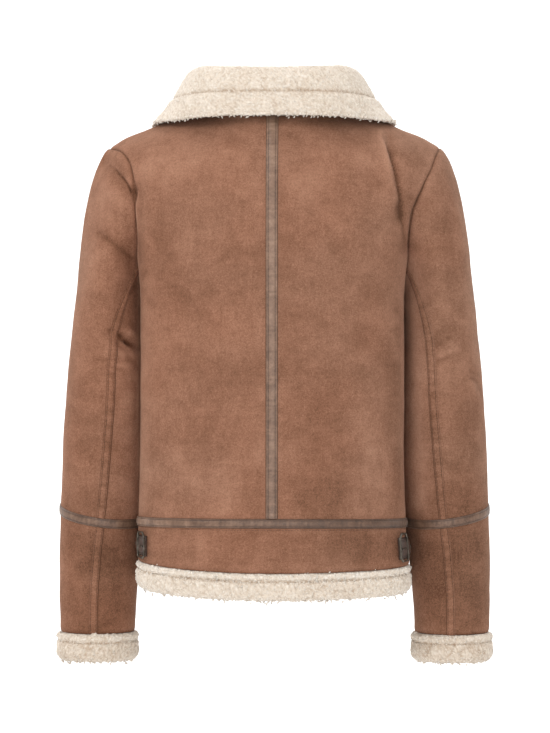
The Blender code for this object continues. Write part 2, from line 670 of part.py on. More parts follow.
def make_sheets():
    """Every panel's outer points and normals, creased, with seams shared."""
    sheets = {}
    spine = (0.0, 0.0)
    for side, hand in ((-1, "left"), (1, "right")):
        back_columns = ((0.0, BACK_STRIP_HALF), NECK_SHARES, SHOULDER_SHARES)
        front_columns = ((0.0,), NECK_SHARES, SHOULDER_SHARES)
        for face, part, columns in ((-1, "back", back_columns), (1, "front", front_columns)):
            for kind, levels in (("panel", body_levels()), ("band", BAND_LEVELS)):
                grid = torso(side, face, levels, *columns)
                inside = grid * (0.0, 0.0, 1.0) + (*spine, 0.0)
                sheets[f"{part}_{kind}_{hand}"] = (grid, sheet_normals(grid, inside))
        for part in ("top", "under"):
            grids = {"sleeve": sleeve_part(side, part, ARMHOLE_LEVELS, CAP_SHARES, SLEEVE_SHARES),
                     "forearm": forearm_part(side, part, ARMHOLE_LEVELS, FOREARM_SHARES)}
            for kind, grid in grids.items():
                drops = np.clip(-grid[..., 2], BICEPS_DROP, WRIST_DROP)
                ring = read(SLEEVE_RINGS, RING_COLUMNS, "drop",
                            ("inner_x", "outer_x", "back_y", "front_y"), drops)
                middle = np.stack([side * (ring[..., 0] + ring[..., 1]) / 2,
                                   (ring[..., 2] + ring[..., 3]) / 2, grid[..., 2]], axis=-1)
                sheets[f"{kind}_{part}_{hand}"] = (grid, sheet_normals(grid, middle))
    sheets = share_normals(sheets)
    creased = {}
    for name, (grid, normals) in sheets.items():
        height = crease_height(grid, normals)
        creased[name] = (grid + height[..., None] * unit(normals), normals)
    return creased


def inner_of(sheet):
    grid, normals = sheet
    return grid - normals * WALL


def make_panels(sheets, collection):
    for hand in ("left", "right"):
        for part in ("back", "front"):
            sheet = sheets[f"{part}_panel_{hand}"]
            wall(f"{part}_{hand}", sheet[0], inner_of(sheet), SUEDE, collection)
        band = sheets[f"front_band_{hand}"]
        wall(f"waistband_{hand}", band[0], inner_of(band), SUEDE, collection)
        for kind in ("sleeve", "forearm"):
            for part in ("top", "under"):
                sheet = sheets[f"{kind}_{part}_{hand}"]
                wall(f"{kind}_{part}_{hand}", sheet[0], inner_of(sheet), SUEDE, collection)
    band = joined(sheets["back_band_left"], sheets["back_band_right"])
    wall("waistband_back", band[0], inner_of(band), SUEDE, collection)


def joined(left, right):
    """Two sheets that share their first column, as one, from left to right."""
    return tuple(np.concatenate([a[:, :0:-1], b], axis=1) for a, b in zip(left, right))


def hoop(sheets, left_to_right, row):
    """One row of several sheets joined end to end: points and normals."""
    points, normals = [], []
    for name, backwards in left_to_right:
        grid, normal = sheets[name]
        step = -1 if backwards else 1
        points.append(grid[row][::step])
        normals.append(normal[row][::step])
    points = [points[0]] + [run[1:] for run in points[1:]]
    normals = [normals[0]] + [run[1:] for run in normals[1:]]
    return np.concatenate(points), np.concatenate(normals)


def make_strips(sheets, collection):
    """The leather strips and the raised sleeve seams."""
    back_left, back_right = sheets["back_panel_left"], sheets["back_panel_right"]
    whole_back = joined(back_left, back_right)
    middle = back_left[0].shape[1] - 1
    spine = slice(middle - 1, middle + 2)
    lay_on("back_strip", whole_back[0][1:, spine], whole_back[1][1:, spine], LEATHER,
           LEATHER_FINISH, collection)
    bands = joined(sheets["back_band_left"], sheets["back_band_right"])
    waist = np.concatenate([whole_back[0][1:2], bands[0][:2]])
    waist_normals = np.concatenate([whole_back[1][1:2], bands[1][:2]])
    lay_on("waist_strip_back", waist, waist_normals, LEATHER, LEATHER_FINISH, collection)
    for hand in ("left", "right"):
        panel, band = sheets[f"front_panel_{hand}"], sheets[f"front_band_{hand}"]
        lay_on(f"waist_strip_{hand}", np.concatenate([panel[0][1:2], band[0][:2]]),
               np.concatenate([panel[1][1:2], band[1][:2]]), LEATHER, LEATHER_FINISH, collection)
        ring = []
        for kind, rows in (("sleeve", (-2,)), ("forearm", (0, 1))):
            for row in rows:
                ring.append(sleeve_hoop(sheets, kind, hand, row))
        points = np.array([part[0] for part in ring])
        normals = np.array([part[1] for part in ring])
        lay_on(f"sleeve_strip_{hand}", points, normals, LEATHER, LEATHER_FINISH, collection, True)
        for kind, rows in (("sleeve", slice(0, -1)), ("forearm", slice(1, None))):
            top, under = sheets[f"{kind}_top_{hand}"], sheets[f"{kind}_under_{hand}"]
            lap = [np.stack([top[k][rows, 1], top[k][rows, 0], under[k][rows, 1]], axis=1)
                   for k in (0, 1)]
            lay_on(f"{kind}_seam_{hand}", *lap, LAPPED, SUEDE, collection)


def sleeve_hoop(sheets, kind, hand, row):
    """A row right round the sleeve, its last point not repeated."""
    top, under = sheets[f"{kind}_top_{hand}"], sheets[f"{kind}_under_{hand}"]
    return tuple(np.concatenate([top[k][row], under[k][row][-2:0:-1]]) for k in (0, 1))


def pile_band(name, points, normals, section, collection, closed=False):
    """A band of pile that hangs below an edge of suede."""
    outward = unit(normals * (1.0, 1.0, 0.0))
    out, down, in_out, in_down = (column(section, BAND_COLUMNS, key)[:, None, None]
                                  for key in BAND_COLUMNS)
    downward = np.array((0.0, 0.0, -1.0))
    outer = points + outward * out + downward * down
    inner = points + outward * in_out + downward * in_down
    wall(name, outer, inner, PILE, collection, closed)


def make_pile_bands(sheets, collection):
    around = (("front_band_left", False), ("back_band_left", True), ("back_band_right", False),
              ("front_band_right", True))
    points, normals = hoop(sheets, around, -1)
    pile_band("hem", points, normals, HEM_BAND, collection)
    for hand in ("left", "right"):
        points, normals = sleeve_hoop(sheets, "forearm", hand, -1)
        pile_band(f"cuff_{hand}", points, normals, CUFF_BAND, collection, closed=True)


# ---------------------------------------------------------------- the collar

def bezier(points, t):
    a, b, c, d = points
    t = np.asarray(t)[:, None]
    return (1 - t)**3 * a + 3 * (1 - t)**2 * t * b + 3 * (1 - t) * t**2 * c + t**3 * d


def collar_section(rim_out, rim_in, side, station):
    """One section of the collar: outer and inner points from the neck seam over the fold to the
    free edge."""
    names = ("fold_x", "fold_y", "fold_z", "edge_x", "edge_y", "edge_z", "edge_in", "edge_up")
    values = read(COLLAR, COLLAR_COLUMNS, "station", names, [station])[0]
    mirror = np.array((side, 1.0, 1.0))
    base = (rim_out + rim_in) / 2
    fold, edge = values[0:3] * mirror, values[3:6] * mirror
    outward = unit((edge - base) * (1.0, 1.0, 0.0))
    upward = np.array((0.0, 0.0, 1.0))
    stand = (base, base + (fold - base) * (0, 0, COLLAR_STAND_PULL),
             fold - outward * COLLAR_FOLD_REACH, fold)
    fall = (fold, fold + outward * COLLAR_FOLD_REACH,
            edge - outward * values[6] + upward * values[7], edge)
    middle = np.concatenate([bezier(stand, (0.0, 0.3, 0.6, 0.8, 0.92)),
                             bezier(fall, (0.0, 0.1, 0.22, 0.38, 0.5, 0.62, 0.78, 0.92, 1.0))])
    tangents = unit(np.gradient(middle, axis=0))
    across = np.cross(outward, upward)
    normals = unit(np.cross(across, tangents))
    half = np.full(len(middle), COLLAR_WALL / 2)
    half[-2:] = COLLAR_WALL * 0.44, COLLAR_WALL * 0.28
    groove = np.zeros(len(middle))
    groove[10] = COLLAR_GROOVE_DEPTH
    outer = middle + normals * (half - groove)[:, None]
    inner = middle - normals * half[:, None]
    if np.dot(outer[0] - inner[0], outward) < 0:
        outer, inner = middle - normals * half[:, None], middle + normals * (half - groove)[:, None]
    outer[0], inner[0] = rim_out, rim_in
    return outer, inner


def neck_stations(sheets):
    """The body's neck edge from the left front to the right front: outer and inner points, side,
    station, and the way the cloth runs up to it."""
    found = []
    neck_columns = len(NECK_SHARES)
    for hand, side in (("left", -1), ("right", 1)):
        run = []
        for part, first in (("back", 2), ("front", 1)):
            sheet = sheets[f"{part}_panel_{hand}"]
            behind = inner_of(sheet)
            last = first + neck_columns - 1
            stations = np.concatenate([[0.0] * first, NECK_SHARES])
            if part == "back":
                length = along(sheet[0][-1, :last + 1])
                stations = length / length[-1]
            for k in range(last + 1):
                if part == "front" and k == last:
                    continue
                station = stations[k] if part == "back" else 2.0 - stations[k]
                climb = unit(sheet[0][-1, k] - sheet[0][-2, k])
                run.append((station, side, sheet[0][-1, k], behind[-1, k], climb))
        run.sort(key=lambda item: item[0])
        found.append(run)
    left, right = found
    return left[:0:-1] + right


def make_collar(sheets, collection):
    outer, inner = [], []
    for station, side, rim_out, rim_in, climb in neck_stations(sheets):
        lift = climb * COLLAR_LIFT
        section = collar_section(rim_out + lift, rim_in + lift, side, station)
        outer.append(section[0])
        inner.append(section[1])
    wall("collar", np.array(outer), np.array(inner), PILE, collection)


# ---------------------------------------------------------------- zip and buckles

def zip_line(levels):
    """The middle of the front, and the way it faces."""
    points = row_curves(1, levels)[0] * (0.0, 1.0, 1.0)
    run = unit(np.gradient(points, axis=0))
    facing = np.stack([np.zeros(len(levels)), run[:, 2], -run[:, 1]], axis=-1)
    return points, facing


def make_zip(collection):
    points, facing = zip_line(ZIP_LEVELS)
    face = points - facing * TAPE_SET_BACK
    for side, hand in ((-1, "left"), (1, "right")):
        columns = [face + np.array((side * x, 0, 0)) for x in (TAPE_MIDDLE, TAPE_EDGE)]
        outer = np.stack(columns, axis=1)
        wall(f"zip_tape_{hand}", outer, outer - facing[:, None] * TAPE_THICKNESS, TAPE,
             collection, ease=0.0)
    levels = [level for level in ZIP_LEVELS if level <= CHAIN_TOP_LEVEL]
    points, facing = zip_line(levels)
    seat = points + facing * (LAY - TAPE_SET_BACK)
    columns = [seat + np.array((x, 0, 0)) for x in (-CHAIN_HALF, CHAIN_HALF)]
    behind = np.stack(columns, axis=1)
    wall("zip_chain", behind + facing[:, None] * CHAIN_THICKNESS, behind, METAL, collection,
         ease=0.0)


def box_mesh(work, size, centre):
    """A box of the given size, in millimetres, as part of a mesh being built."""
    made = bmesh.ops.create_cube(work, size=1.0)["verts"]
    bmesh.ops.scale(work, vec=[value * MM for value in size], verts=made)
    bmesh.ops.translate(work, vec=[value * MM for value in centre], verts=made)


def solid_from(work, name):
    bmesh.ops.recalc_face_normals(work, faces=work.faces[:])
    mesh = bpy.data.meshes.new(name)
    work.to_mesh(mesh)
    work.free()
    return mesh


def unite(piece, other):
    """Join another object into a piece with a Boolean, and remove the other."""
    union = piece.modifiers.new("join", "BOOLEAN")
    union.operation = "UNION"
    union.object = other
    evaluated = piece.evaluated_get(bpy.context.evaluated_depsgraph_get())
    mesh = bpy.data.meshes.new_from_object(evaluated)
    piece.modifiers.clear()
    piece.data = mesh
    bpy.data.objects.remove(other)


def rod_object(name, radius, length, collection, segments=16):
    """A round rod along X."""
    work = bmesh.new()
    bmesh.ops.create_cone(work, cap_ends=True, segments=segments, radius1=radius * MM,
                          radius2=radius * MM, depth=length * MM)
    bmesh.ops.rotate(work, cent=(0, 0, 0), verts=work.verts[:],
                     matrix=Matrix.Rotation(math.pi / 2, 3, "Y"))
    piece = bpy.data.objects.new(name, solid_from(work, name))
    collection.objects.link(piece)
    return piece


def make_slider(collection):
    """The slider with its two ears and pin, and the pull that swings on the pin."""
    points, facing = zip_line([SLIDER_LEVEL - 0.02, SLIDER_LEVEL, SLIDER_LEVEL + 0.02])
    seat, out = points[1], facing[1]
    lean = math.atan2(out[2], out[1])
    depth = SLIDER_SIZE[1]
    base = seat + out * (LAY - TAPE_SET_BACK)

    work = bmesh.new()
    box_mesh(work, SLIDER_SIZE, (0, depth / 2, 0))
    slider = bpy.data.objects.new("zip_slider", solid_from(work, "zip_slider"))
    collection.objects.link(slider)
    ear_depth = EAR_SIZE[1]
    for side in (-1, 1):
        work = bmesh.new()
        box_mesh(work, EAR_SIZE, (side * EAR_OFFSET, depth - 0.2 + ear_depth / 2, 0))
        ear = bpy.data.objects.new("ear", solid_from(work, "ear"))
        collection.objects.link(ear)
        unite(slider, ear)
    pin = rod_object("pin", PIN_RADIUS, 2 * EAR_OFFSET, collection)
    pin.location = (0, (depth + PIN_HEIGHT) * MM, 0)
    bpy.context.view_layer.update()
    unite(slider, pin)
    slider.data.materials.clear()
    slider.data.materials.append(finish_material(METAL))

    pull = rod_object("zip_pull", EYE_RADIUS, EYE_LENGTH, collection)
    pull_depth, pull_height = PULL_SIZE[1:]
    neck_height = PULL_START - EYE_HOLE_RADIUS
    for size, centre in (((EYE_LENGTH, pull_depth, neck_height), PULL_START - neck_height / 2),
                         (PULL_SIZE, PULL_START - 0.3 + pull_height / 2)):
        work = bmesh.new()
        box_mesh(work, size, (0, 0, -centre))
        plate = bpy.data.objects.new("plate", solid_from(work, "plate"))
        collection.objects.link(plate)
        unite(pull, plate)
    hole = rod_object("hole", EYE_HOLE_RADIUS, EYE_LENGTH + 2, collection)
    cut = pull.modifiers.new("hole", "BOOLEAN")
    cut.operation = "DIFFERENCE"
    cut.object = hole
    evaluated = pull.evaluated_get(bpy.context.evaluated_depsgraph_get())
    mesh = bpy.data.meshes.new_from_object(evaluated)
    pull.modifiers.clear()
    pull.data = mesh
    bpy.data.objects.remove(hole)
    pull.data.materials.clear()
    pull.data.materials.append(finish_material(METAL))

    slider.rotation_euler = (lean, 0, 0)
    slider.location = base * MM
    pull.rotation_euler = (lean - math.radians(PULL_LEAN), 0, 0)
    pull.location = (base + out * (depth + PIN_HEIGHT)) * MM


def band_point(side, share, level, out):
    """A point on the waistband's facets, moved out: the share runs from the column below the
    shoulder point (0) to the side seam (1)."""
    columns = (0.0,) + SHOULDER_SHARES
    row, below = (torso(side, -1, (at,), (0.0,), (1.0,), columns)[0, 2:]
                  for at in (level, level - 0.05))
    k = int(np.searchsorted(columns, share)) - 1
    part = (share - columns[k]) / (columns[k + 1] - columns[k])
    point = row[k] + part * (row[k + 1] - row[k])
    down = below[k] + part * (below[k + 1] - below[k]) - point
    normal = unit(np.cross(down, row[k + 1] - row[k]))
    if np.dot(normal, point * (1.0, 1.0, 0.0)) < 0:
        normal = -normal
    return point + normal * out


def make_side_straps(sheets, collection):
    """A leather adjuster round each side of the waistband, with its metal buckle."""
    rows = [BAND_LEVELS.index(level) for level in STRAP_LEVELS]
    for side, hand in ((-1, "left"), (1, "right")):
        back, front = sheets[f"back_band_{hand}"], sheets[f"front_band_{hand}"]
        run = [np.concatenate([back[k][rows][:, -4:], front[k][rows][:, -2:-4:-1]], axis=1)
               for k in (0, 1)]
        lay_on(f"side_strap_{hand}", *run, STRAP, DARK_LEATHER, collection)
        top, bottom = BUCKLE_LEVELS
        near, far = BUCKLE_SHARES
        corner = BUCKLE_CORNER * (top - bottom)
        across = BUCKLE_CORNER * (far - near)
        middle = (near + far) / 2
        outline = ((near + across, top), (middle, top), (far - across, top),
                   (far, top - corner), (far, (top + bottom) / 2), (far, bottom + corner),
                   (far - across, bottom), (middle, bottom), (near + across, bottom),
                   (near, bottom + corner), (near, (top + bottom) / 2), (near, top - corner))
        out = 2 * LAY + STRAP + BUCKLE_WIRE
        path = [band_point(side, share, level, out) for share, level in outline]
        curve = bpy.data.curves.new(f"side_buckle_{hand}", "CURVE")
        curve.dimensions = "3D"
        curve.bevel_depth = BUCKLE_WIRE * MM
        curve.bevel_resolution = 1
        spline = curve.splines.new("POLY")
        spline.points.add(len(path) - 1)
        for point, at in zip(spline.points, path):
            point.co = (*(at * MM), 1.0)
        spline.use_cyclic_u = True
        curve.materials.append(finish_material(METAL))
        collection.objects.link(bpy.data.objects.new(f"side_buckle_{hand}", curve))


def main():
    for piece in list(bpy.data.objects):
        bpy.data.objects.remove(piece)
    collection = bpy.data.collections.new("jacket")
    bpy.context.scene.collection.children.link(collection)
    sheets = make_sheets()
    make_panels(sheets, collection)
    make_strips(sheets, collection)
    make_pile_bands(sheets, collection)
    make_collar(sheets, collection)
    make_zip(collection)
    make_slider(collection)
    make_side_straps(sheets, collection)


if __name__ == "__main__":
    main()
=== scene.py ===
"""The looks of a short suede jacket with curly pile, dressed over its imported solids.

Sizes and tables are in millimetres, meshes in metres. +X is the wearer's right, +Y the way the
wearer faces, +Z up, and the origin is in the middle of the neck's base. The cloth follows the
same rows and rings as its solids, at a finer spacing.
"""
import math

import bmesh
import bpy
import numpy as np
from mathutils import Matrix, Vector, noise


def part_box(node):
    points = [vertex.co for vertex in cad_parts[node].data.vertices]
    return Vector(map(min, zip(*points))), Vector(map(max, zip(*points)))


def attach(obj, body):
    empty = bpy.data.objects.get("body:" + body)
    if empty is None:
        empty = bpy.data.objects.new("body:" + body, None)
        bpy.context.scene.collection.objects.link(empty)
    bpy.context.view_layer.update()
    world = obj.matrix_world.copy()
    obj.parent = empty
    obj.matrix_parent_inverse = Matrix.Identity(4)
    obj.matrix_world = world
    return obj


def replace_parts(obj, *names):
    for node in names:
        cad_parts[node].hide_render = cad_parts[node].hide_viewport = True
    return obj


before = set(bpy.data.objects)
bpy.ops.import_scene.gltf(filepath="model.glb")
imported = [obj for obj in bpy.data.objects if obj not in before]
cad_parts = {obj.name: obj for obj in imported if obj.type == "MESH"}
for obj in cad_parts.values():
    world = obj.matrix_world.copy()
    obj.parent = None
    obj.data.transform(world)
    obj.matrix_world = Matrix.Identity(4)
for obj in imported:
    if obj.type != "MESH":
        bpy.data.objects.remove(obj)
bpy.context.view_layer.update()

MM = 0.001
SAME_PLACE = 1e-7         # metres, within which two points are one
FAR = 1e9
DICE = np.random.default_rng(20)

WALL = 5.0                # suede and its pile
COLLAR_WALL = 8.0
SEAM_EASE = 0.18          # how far each piece draws back from its seam
LAY = 0.4                 # air under a strip that lies on a panel
LEATHER = 1.5             # thickness of the leather strips
LAPPED = 1.2              # height of the raised double-stitched sleeve seam
STRAP = 2.4               # thickness of the side straps
RUN_ON = 0.7              # least cosine between sheets that run on into each other
SHARPEST_MITRE = 0.75     # least cosine used where two walls meet at an angle
WAIST_STRIP_HALF = 5.8
SLEEVE_SEAM_HALF = 5.5
ZIP_HALF = 7.0            # from the middle of the zip to a front panel's edge
TOP_LEVEL = 2.0           # neck edge and shoulder seam
YOKE_LEVEL = 1.68         # from here up the rows turn forward over the shoulders
ROW_COLUMNS = ("level", "centre_y", "centre_z", "centre_pull", "edge_x", "edge_y", "edge_z",
               "pull_x", "pull_y", "pull_z", "cut")
BACK_ROWS = (
    (-1.65, -133, -612.0, 105, 157.0, 0, -600, 41, -85, 0, 1.0),
    (-1.00, -133, -578.5, 105, 157.0, 0, -568, 41, -85, 0, 1.0),
    (0.00, -132, -518.6, 105, 155.5, 0, -520.5, 44, -85, 0, 1.0),
    (0.50, -128, -380.0, 105, 151.0, 2, -380, 48, -82, 0, 1.0),
    (1.00, -128, -235.0, 105, 154.0, 5, -235, 45, -80, 0, 1.0),
    (1.08, -128, -221.0, 105, 154.5, 5, -228, 45, -80, 0, 0.93),
    (1.18, -128, -203.0, 105, 155.5, 5, -209, 45, -80, 0, 0.86),
    (1.32, -128, -177.0, 105, 157.0, 5, -179, 45, -80, 0, 0.77),
)
FRONT_ROWS = (
    (-1.65, 130, -612.0, 100, 157.0, 0, -600, 14, 80, 0, 1.0),
    (-1.00, 130, -578.5, 100, 157.0, 0, -568, 14, 80, 0, 1.0),
    (0.00, 128, -520.0, 100, 155.5, 0, -520.5, 14, 80, 0, 1.0),
    (0.50, 127, -380.0, 100, 151.0, 2, -380, 16, 78, 0, 1.0),
    (1.00, 130, -235.0, 98, 154.0, 5, -235, 16, 76, 0, 1.0),
    (1.08, 129, -223.0, 98, 154.0, 5, -228, 16, 75, 0, 0.93),
    (1.18, 127, -207.0, 98, 154.0, 5, -209, 16, 74, 0, 0.85),
    (1.32, 124, -186.0, 97, 154.5, 5, -181, 16, 72, 0, 0.75),
)
YOKE_COLUMNS = ROW_COLUMNS[:-1]
BACK_YOKE = (
    (1.48, -126, -148.0, 84, 168.5, -62, -143, -22, -38, 0),
    (1.62, -123, -118.0, 84, 170.5, -65, -110, -32, -33, 0),
    (1.745, -118, -88.0, 83, 175.5, -56, -84, -34, -34, 6),
    (1.87, -106, -56.0, 80, 188.0, -34, -65, -40, -36, 10),
    (1.94, -98, -40.0, 80, 198.0, -16, -60, -40, -35, 13),
    (2.00, -90, -26.0, 80, 206.5, 0, -57.5, -40, -35, 16),
)
FRONT_YOKE = (
    (1.48, 119, -164.0, 80, 157.5, 63, -145, -20, 38, 0),
    (1.62, 112, -142.0, 78, 161.0, 64, -113, -27, 34, 0),
    (1.745, 105, -120.0, 78, 169.0, 52, -87, -30, 36, 4),
    (1.87, 96, -98.0, 76, 186.0, 30, -67, -36, 36, 8),
    (1.94, 91, -87.0, 74, 197.0, 14, -61, -38, 33, 11),
    (2.00, 86, -76.0, 72, 206.5, 0, -57.5, -40, 30, 14),
)
# How the right side differs from the left: its side seam lies further in, and the back of its
# armhole runs straight down from the shoulder
RIGHT_COLUMNS = ("level", "back_x", "back_y", "back_z", "front_x", "front_z")
RIGHT_SIDE = (
    (-1.65, 1.0, 0, -3, 1.0, -3),
    (-1.00, 0.5, 0, -6, 0.5, -6),
    (-0.50, -1.0, 0, -4, -1.0, -4),
    (0.00, -4.5, 0, -2, -4.5, -2),
    (0.25, -4.5, 0, -1, -4.5, -1),
    (0.50, -3.0, 0, 0, -3.0, 0),
    (0.90, -4.0, 0, 0, -4.0, 0),
    (1.00, -4.0, 0, 0, -4.0, 0),
    (1.18, -3.0, 0, 0, -2.0, 0),
    (1.32, -2.0, 0, 0, 0.0, 0),
    (1.48, 1.5, 0, 0, 0.0, 0),
    (1.62, 13.0, 3, 0, 0.0, 0),
    (1.745, 20.0, 9, -1, 0.0, 0),
    (1.87, 14.0, 6, -3, 0.0, 0),
    (1.94, 7.0, 3, -1, 0.0, 0),
    (2.00, 0.0, 0, 0, 0.0, 0),
)
NECK_BACK = ((0, -90, -26), (28, -87, -25), (54, -68, -17), (72, -36, -7), (78, 0, 0))
NECK_FRONT = ((7, 86, -76), (34, 82, -68), (58, 64, -48), (73, 34, -22), (78, 0, 0))
SHOULDER = ((78, 0, 0), (118, 0, -16.5), (157, 0, -33.5), (188, 0, -46), (206.5, 0, -57.5))
RING_COLUMNS = ("drop", "inner_x", "outer_x", "back_y", "front_y", "seam_in")
SLEEVE_RINGS = (
    (290, 162.5, 254.0, -57, 78, 15.0),
    (330, 160.0, 258.5, -54, 74, 12.0),
    (380, 158.0, 262.5, -48, 71, 10.5),
    (430, 158.5, 265.5, -43, 68, 8.0),
    (480, 160.5, 267.5, -38, 65, 5.5),
    (525, 163.5, 269.0, -34, 62, 3.0),
    (570, 168.5, 270.0, -31, 59, 1.0),
    (620, 173.5, 270.0, -29, 57, 0.0),
    (663, 175.5, 268.5, -28, 56, 0.0),
)
BICEPS_DROP = 290
WRIST_DROP = 663
FRONT_SEAM_TURN = -112.0  # degrees from the outer side, round by the front
STRIP_DROP = 515.5        # middle of the sleeve's leather strip
STRIP_OUTER_RISE = 7.0
STRIP_BACK_DROP = 8.3
SLANT_ROUNDS = 3          # passes that settle a row onto the strip's slant
CAP_COLUMNS = ("turn", "leave_x", "leave_y", "leave_z", "arrive_x", "arrive_y", "arrive_z")
SLEEVE_CAP = (
    (0, 95, 0, -78, 22, 0, -240),
    (45, 85, 18, -62, 14, 0, -220),
    (90, 60, 26, -46, 6, -8, -190),
    (135, 28, 14, -38, 10, -6, -100),
    (150, 22, 9, -34, 12, -4, -75),
    (180, 14, 0, -10, 2, 0, -50),
)
COLLAR_COLUMNS = ("station", "fold_x", "fold_y", "fold_z", "edge_x", "edge_y", "edge_z",
                  "edge_in", "edge_up")
COLLAR = (
    (0.00, 0, -98, 29, 0, -109, -27, -6, 27),
    (0.35, 52, -86, 31, 61, -98, -27, -3, 27),
    (0.70, 87, -54, 35, 116, -64, -28, 13, 26),
    (1.00, 101, 0, 34, 151.0, 0, -27.0, 31, 23),
    (1.35, 90, 48, 14, 128, 62, -44, 20, 26),
    (1.70, 56, 86, -22, 94, 106, -90, 10, 28),
    (2.00, 17, 98, -56, 54, 124, -130, 8, 30),
)
COLLAR_FOLD_REACH = 11.0
COLLAR_STAND_PULL = 0.45
COLLAR_LIFT = 0.9         # above the neck seam
BAND_COLUMNS = ("out", "down", "in_out", "in_down")
HEM_BAND = (
    (-0.5, 0.5, -4.6, 0.5),
    (2.8, 1.8, -8.0, 3.0),
    (4.4, 5.0, -9.5, 8.0),
    (2.6, 8.5, -10.0, 13.0),
    (5.0, 12.5, -10.0, 18.0),
    (5.0, 21.5, -10.0, 23.0),
    (3.0, 28.5, -9.0, 28.5),
    (-1.0, 32.5, -5.0, 32.5),
)
CUFF_BAND = (
    (0.6, 0.5, -4.6, 0.5),
    (5.0, 1.6, -6.0, 3.0),
    (6.8, 5.0, -7.0, 8.0),
    (5.6, 9.5, -7.5, 13.0),
    (7.2, 14.0, -7.5, 18.0),
    (7.4, 23.0, -7.5, 24.0),
    (6.0, 29.5, -6.5, 29.5),
    (2.0, 34.0, -3.0, 34.0),
)
# Large creases: the face (-1 the back), a line on it from x0, z0 to x1, z1, width and height
CREASES = (
    (-1, -210, -76, -172, -118, 11, -4.5),
    (-1, -212, -98, -180, -136, 12, 2.5),
    (-1, -215, -166, -172, -200, 13, -3.0),
    (-1, -196, -290, -168, -306, 8, -4.0),
    (-1, -200, -318, -176, -326, 9, 2.0),
    (-1, 233, -150, 249, -350, 12, 2.5),
    (-1, 214, -150, 232, -300, 13, -2.0),
    (-1, 196, -300, 216, -284, 8, -3.0),
    (-1, 244, -334, 256, -356, 8, -2.5),
    (-1, 132, -46, 148, -128, 8, 3.0),
    (-1, 141, -50, 156, -150, 6, -4.0),
    (-1, -150, -90, -156, -210, 9, 1.8),
    (-1, 190, -590, 215, -612, 10, -2.0),
    (1, -240, -296, -178, -312, 10, -4.0),
    (1, -238, -336, -182, -330, 11, 2.0),
    (1, 178, -300, 242, -318, 10, -4.0),
    (1, 184, -340, 240, -344, 11, 2.0),
    (1, -214, -84, -168, -150, 12, -4.0),
    (1, 216, -88, 170, -146, 12, -4.0),
    (1, -110, -250, -96, -480, 22, 2.0),
    (1, 104, -240, 92, -470, 22, 2.0),
)
FACING_START = 0.15       # how squarely cloth must face the view before a crease shows on it
FACING_FULL = 0.5
SEAM_LEVEL = 1.18         # where the sleeve's two seams meet the armhole
ROW_SAMPLES = 81
TAPE_EDGE = 6.6
TAPE_MIDDLE = 0.2
TAPE_SET_BACK = 1.5
TAPE_THICKNESS = 1.4
CHAIN_THICKNESS = 2.2
CHAIN_TOP_LEVEL = 1.90
TOOTH_PITCH = 1.35


def column(table, names, name):
    """One named column of a table."""
    return np.array([row[names.index(name)] for row in table], float)


def smooth_through(knots, values, at):
    """A smooth curve through values at rising knots, which never overshoots them."""
    knots = np.asarray(knots, float)
    values = np.asarray(values, float)
    step = np.diff(knots)
    slope = np.diff(values) / step
    tangent = np.zeros_like(values)
    tangent[0], tangent[-1] = slope[0], slope[-1]
    before, after = slope[:-1], slope[1:]
    together = before * after > 0
    total = np.where(together, before + after, 1.0)
    tangent[1:-1] = np.where(together, 2.0 * before * after / total, 0.0)
    at = np.asarray(at, float)
    i = np.clip(np.searchsorted(knots, at, side="right") - 1, 0, len(knots) - 2)
    t = (at - knots[i]) / step[i]
    return ((2 * t**3 - 3 * t**2 + 1) * values[i] + (t**3 - 2 * t**2 + t) * step[i] * tangent[i]
            + (3 * t**2 - 2 * t**3) * values[i + 1] + (t**3 - t**2) * step[i] * tangent[i + 1])


def read(table, names, key, wanted, at):
    """The wanted columns of a table at values of its key column, as an array of points."""
    knots = column(table, names, key)
    return np.stack([smooth_through(knots, column(table, names, name), at) for name in wanted],
                    axis=-1)


def unit(vectors):
    return vectors / np.maximum(np.linalg.norm(vectors, axis=-1, keepdims=True), 1e-9)


def running(steps):
    """Where each step begins, and the last one ends."""
    return np.concatenate([[0.0], np.cumsum(steps)])


def along(points):
    """Length along a run of points, from its first one."""
    return running(np.linalg.norm(np.diff(points, axis=0), axis=1))


def sampled(at, so_far, values):
    """What the rows of values come to at the given lengths along their run."""
    return np.stack([np.interp(at, so_far, values[:, k]) for k in range(3)], axis=-1)


def spread(points, lengths):
    """Points at the given lengths along a run of points."""
    return sampled(lengths, along(points), points)


def smooth_points(knots, points, at):
    """Points on a smooth curve through points at rising knots."""
    return np.stack([smooth_through(knots, points[:, k], at) for k in range(3)], axis=-1)


def even_run(points, count):
    """The same run as count evenly spaced points, rounded where it has few of them."""
    points = np.asarray(points, float)
    so_far = along(points)
    fine = np.linspace(0.0, so_far[-1], 4 * count)
    rounded = smooth_points(so_far, points, fine)
    return spread(rounded, np.linspace(0.0, along(rounded)[-1], count))


def bezier(points, t):
    """A curve from the first point to the last, drawn towards the two between."""
    start, near_start, near_end, end = points
    return ((1 - t)**3 * start + 3 * (1 - t)**2 * t * near_start
            + 3 * (1 - t) * t**2 * near_end + t**3 * end)


def row_ends(table, names, levels):
    """Start, handle, handle and end of each row's curve."""
    values = read(table, names, "level", names[1:10], levels)
    centre, pull, edge, edge_pull = np.split(values, (2, 3, 6), axis=1)
    start_x = 0.0 if table in (BACK_ROWS, BACK_YOKE) else ZIP_HALF
    start = np.concatenate([np.full((len(levels), 1), start_x), centre], axis=1)
    near_start = start + np.concatenate([pull, np.zeros_like(centre)], axis=1)
    return np.stack([start, near_start, edge + edge_pull, edge])


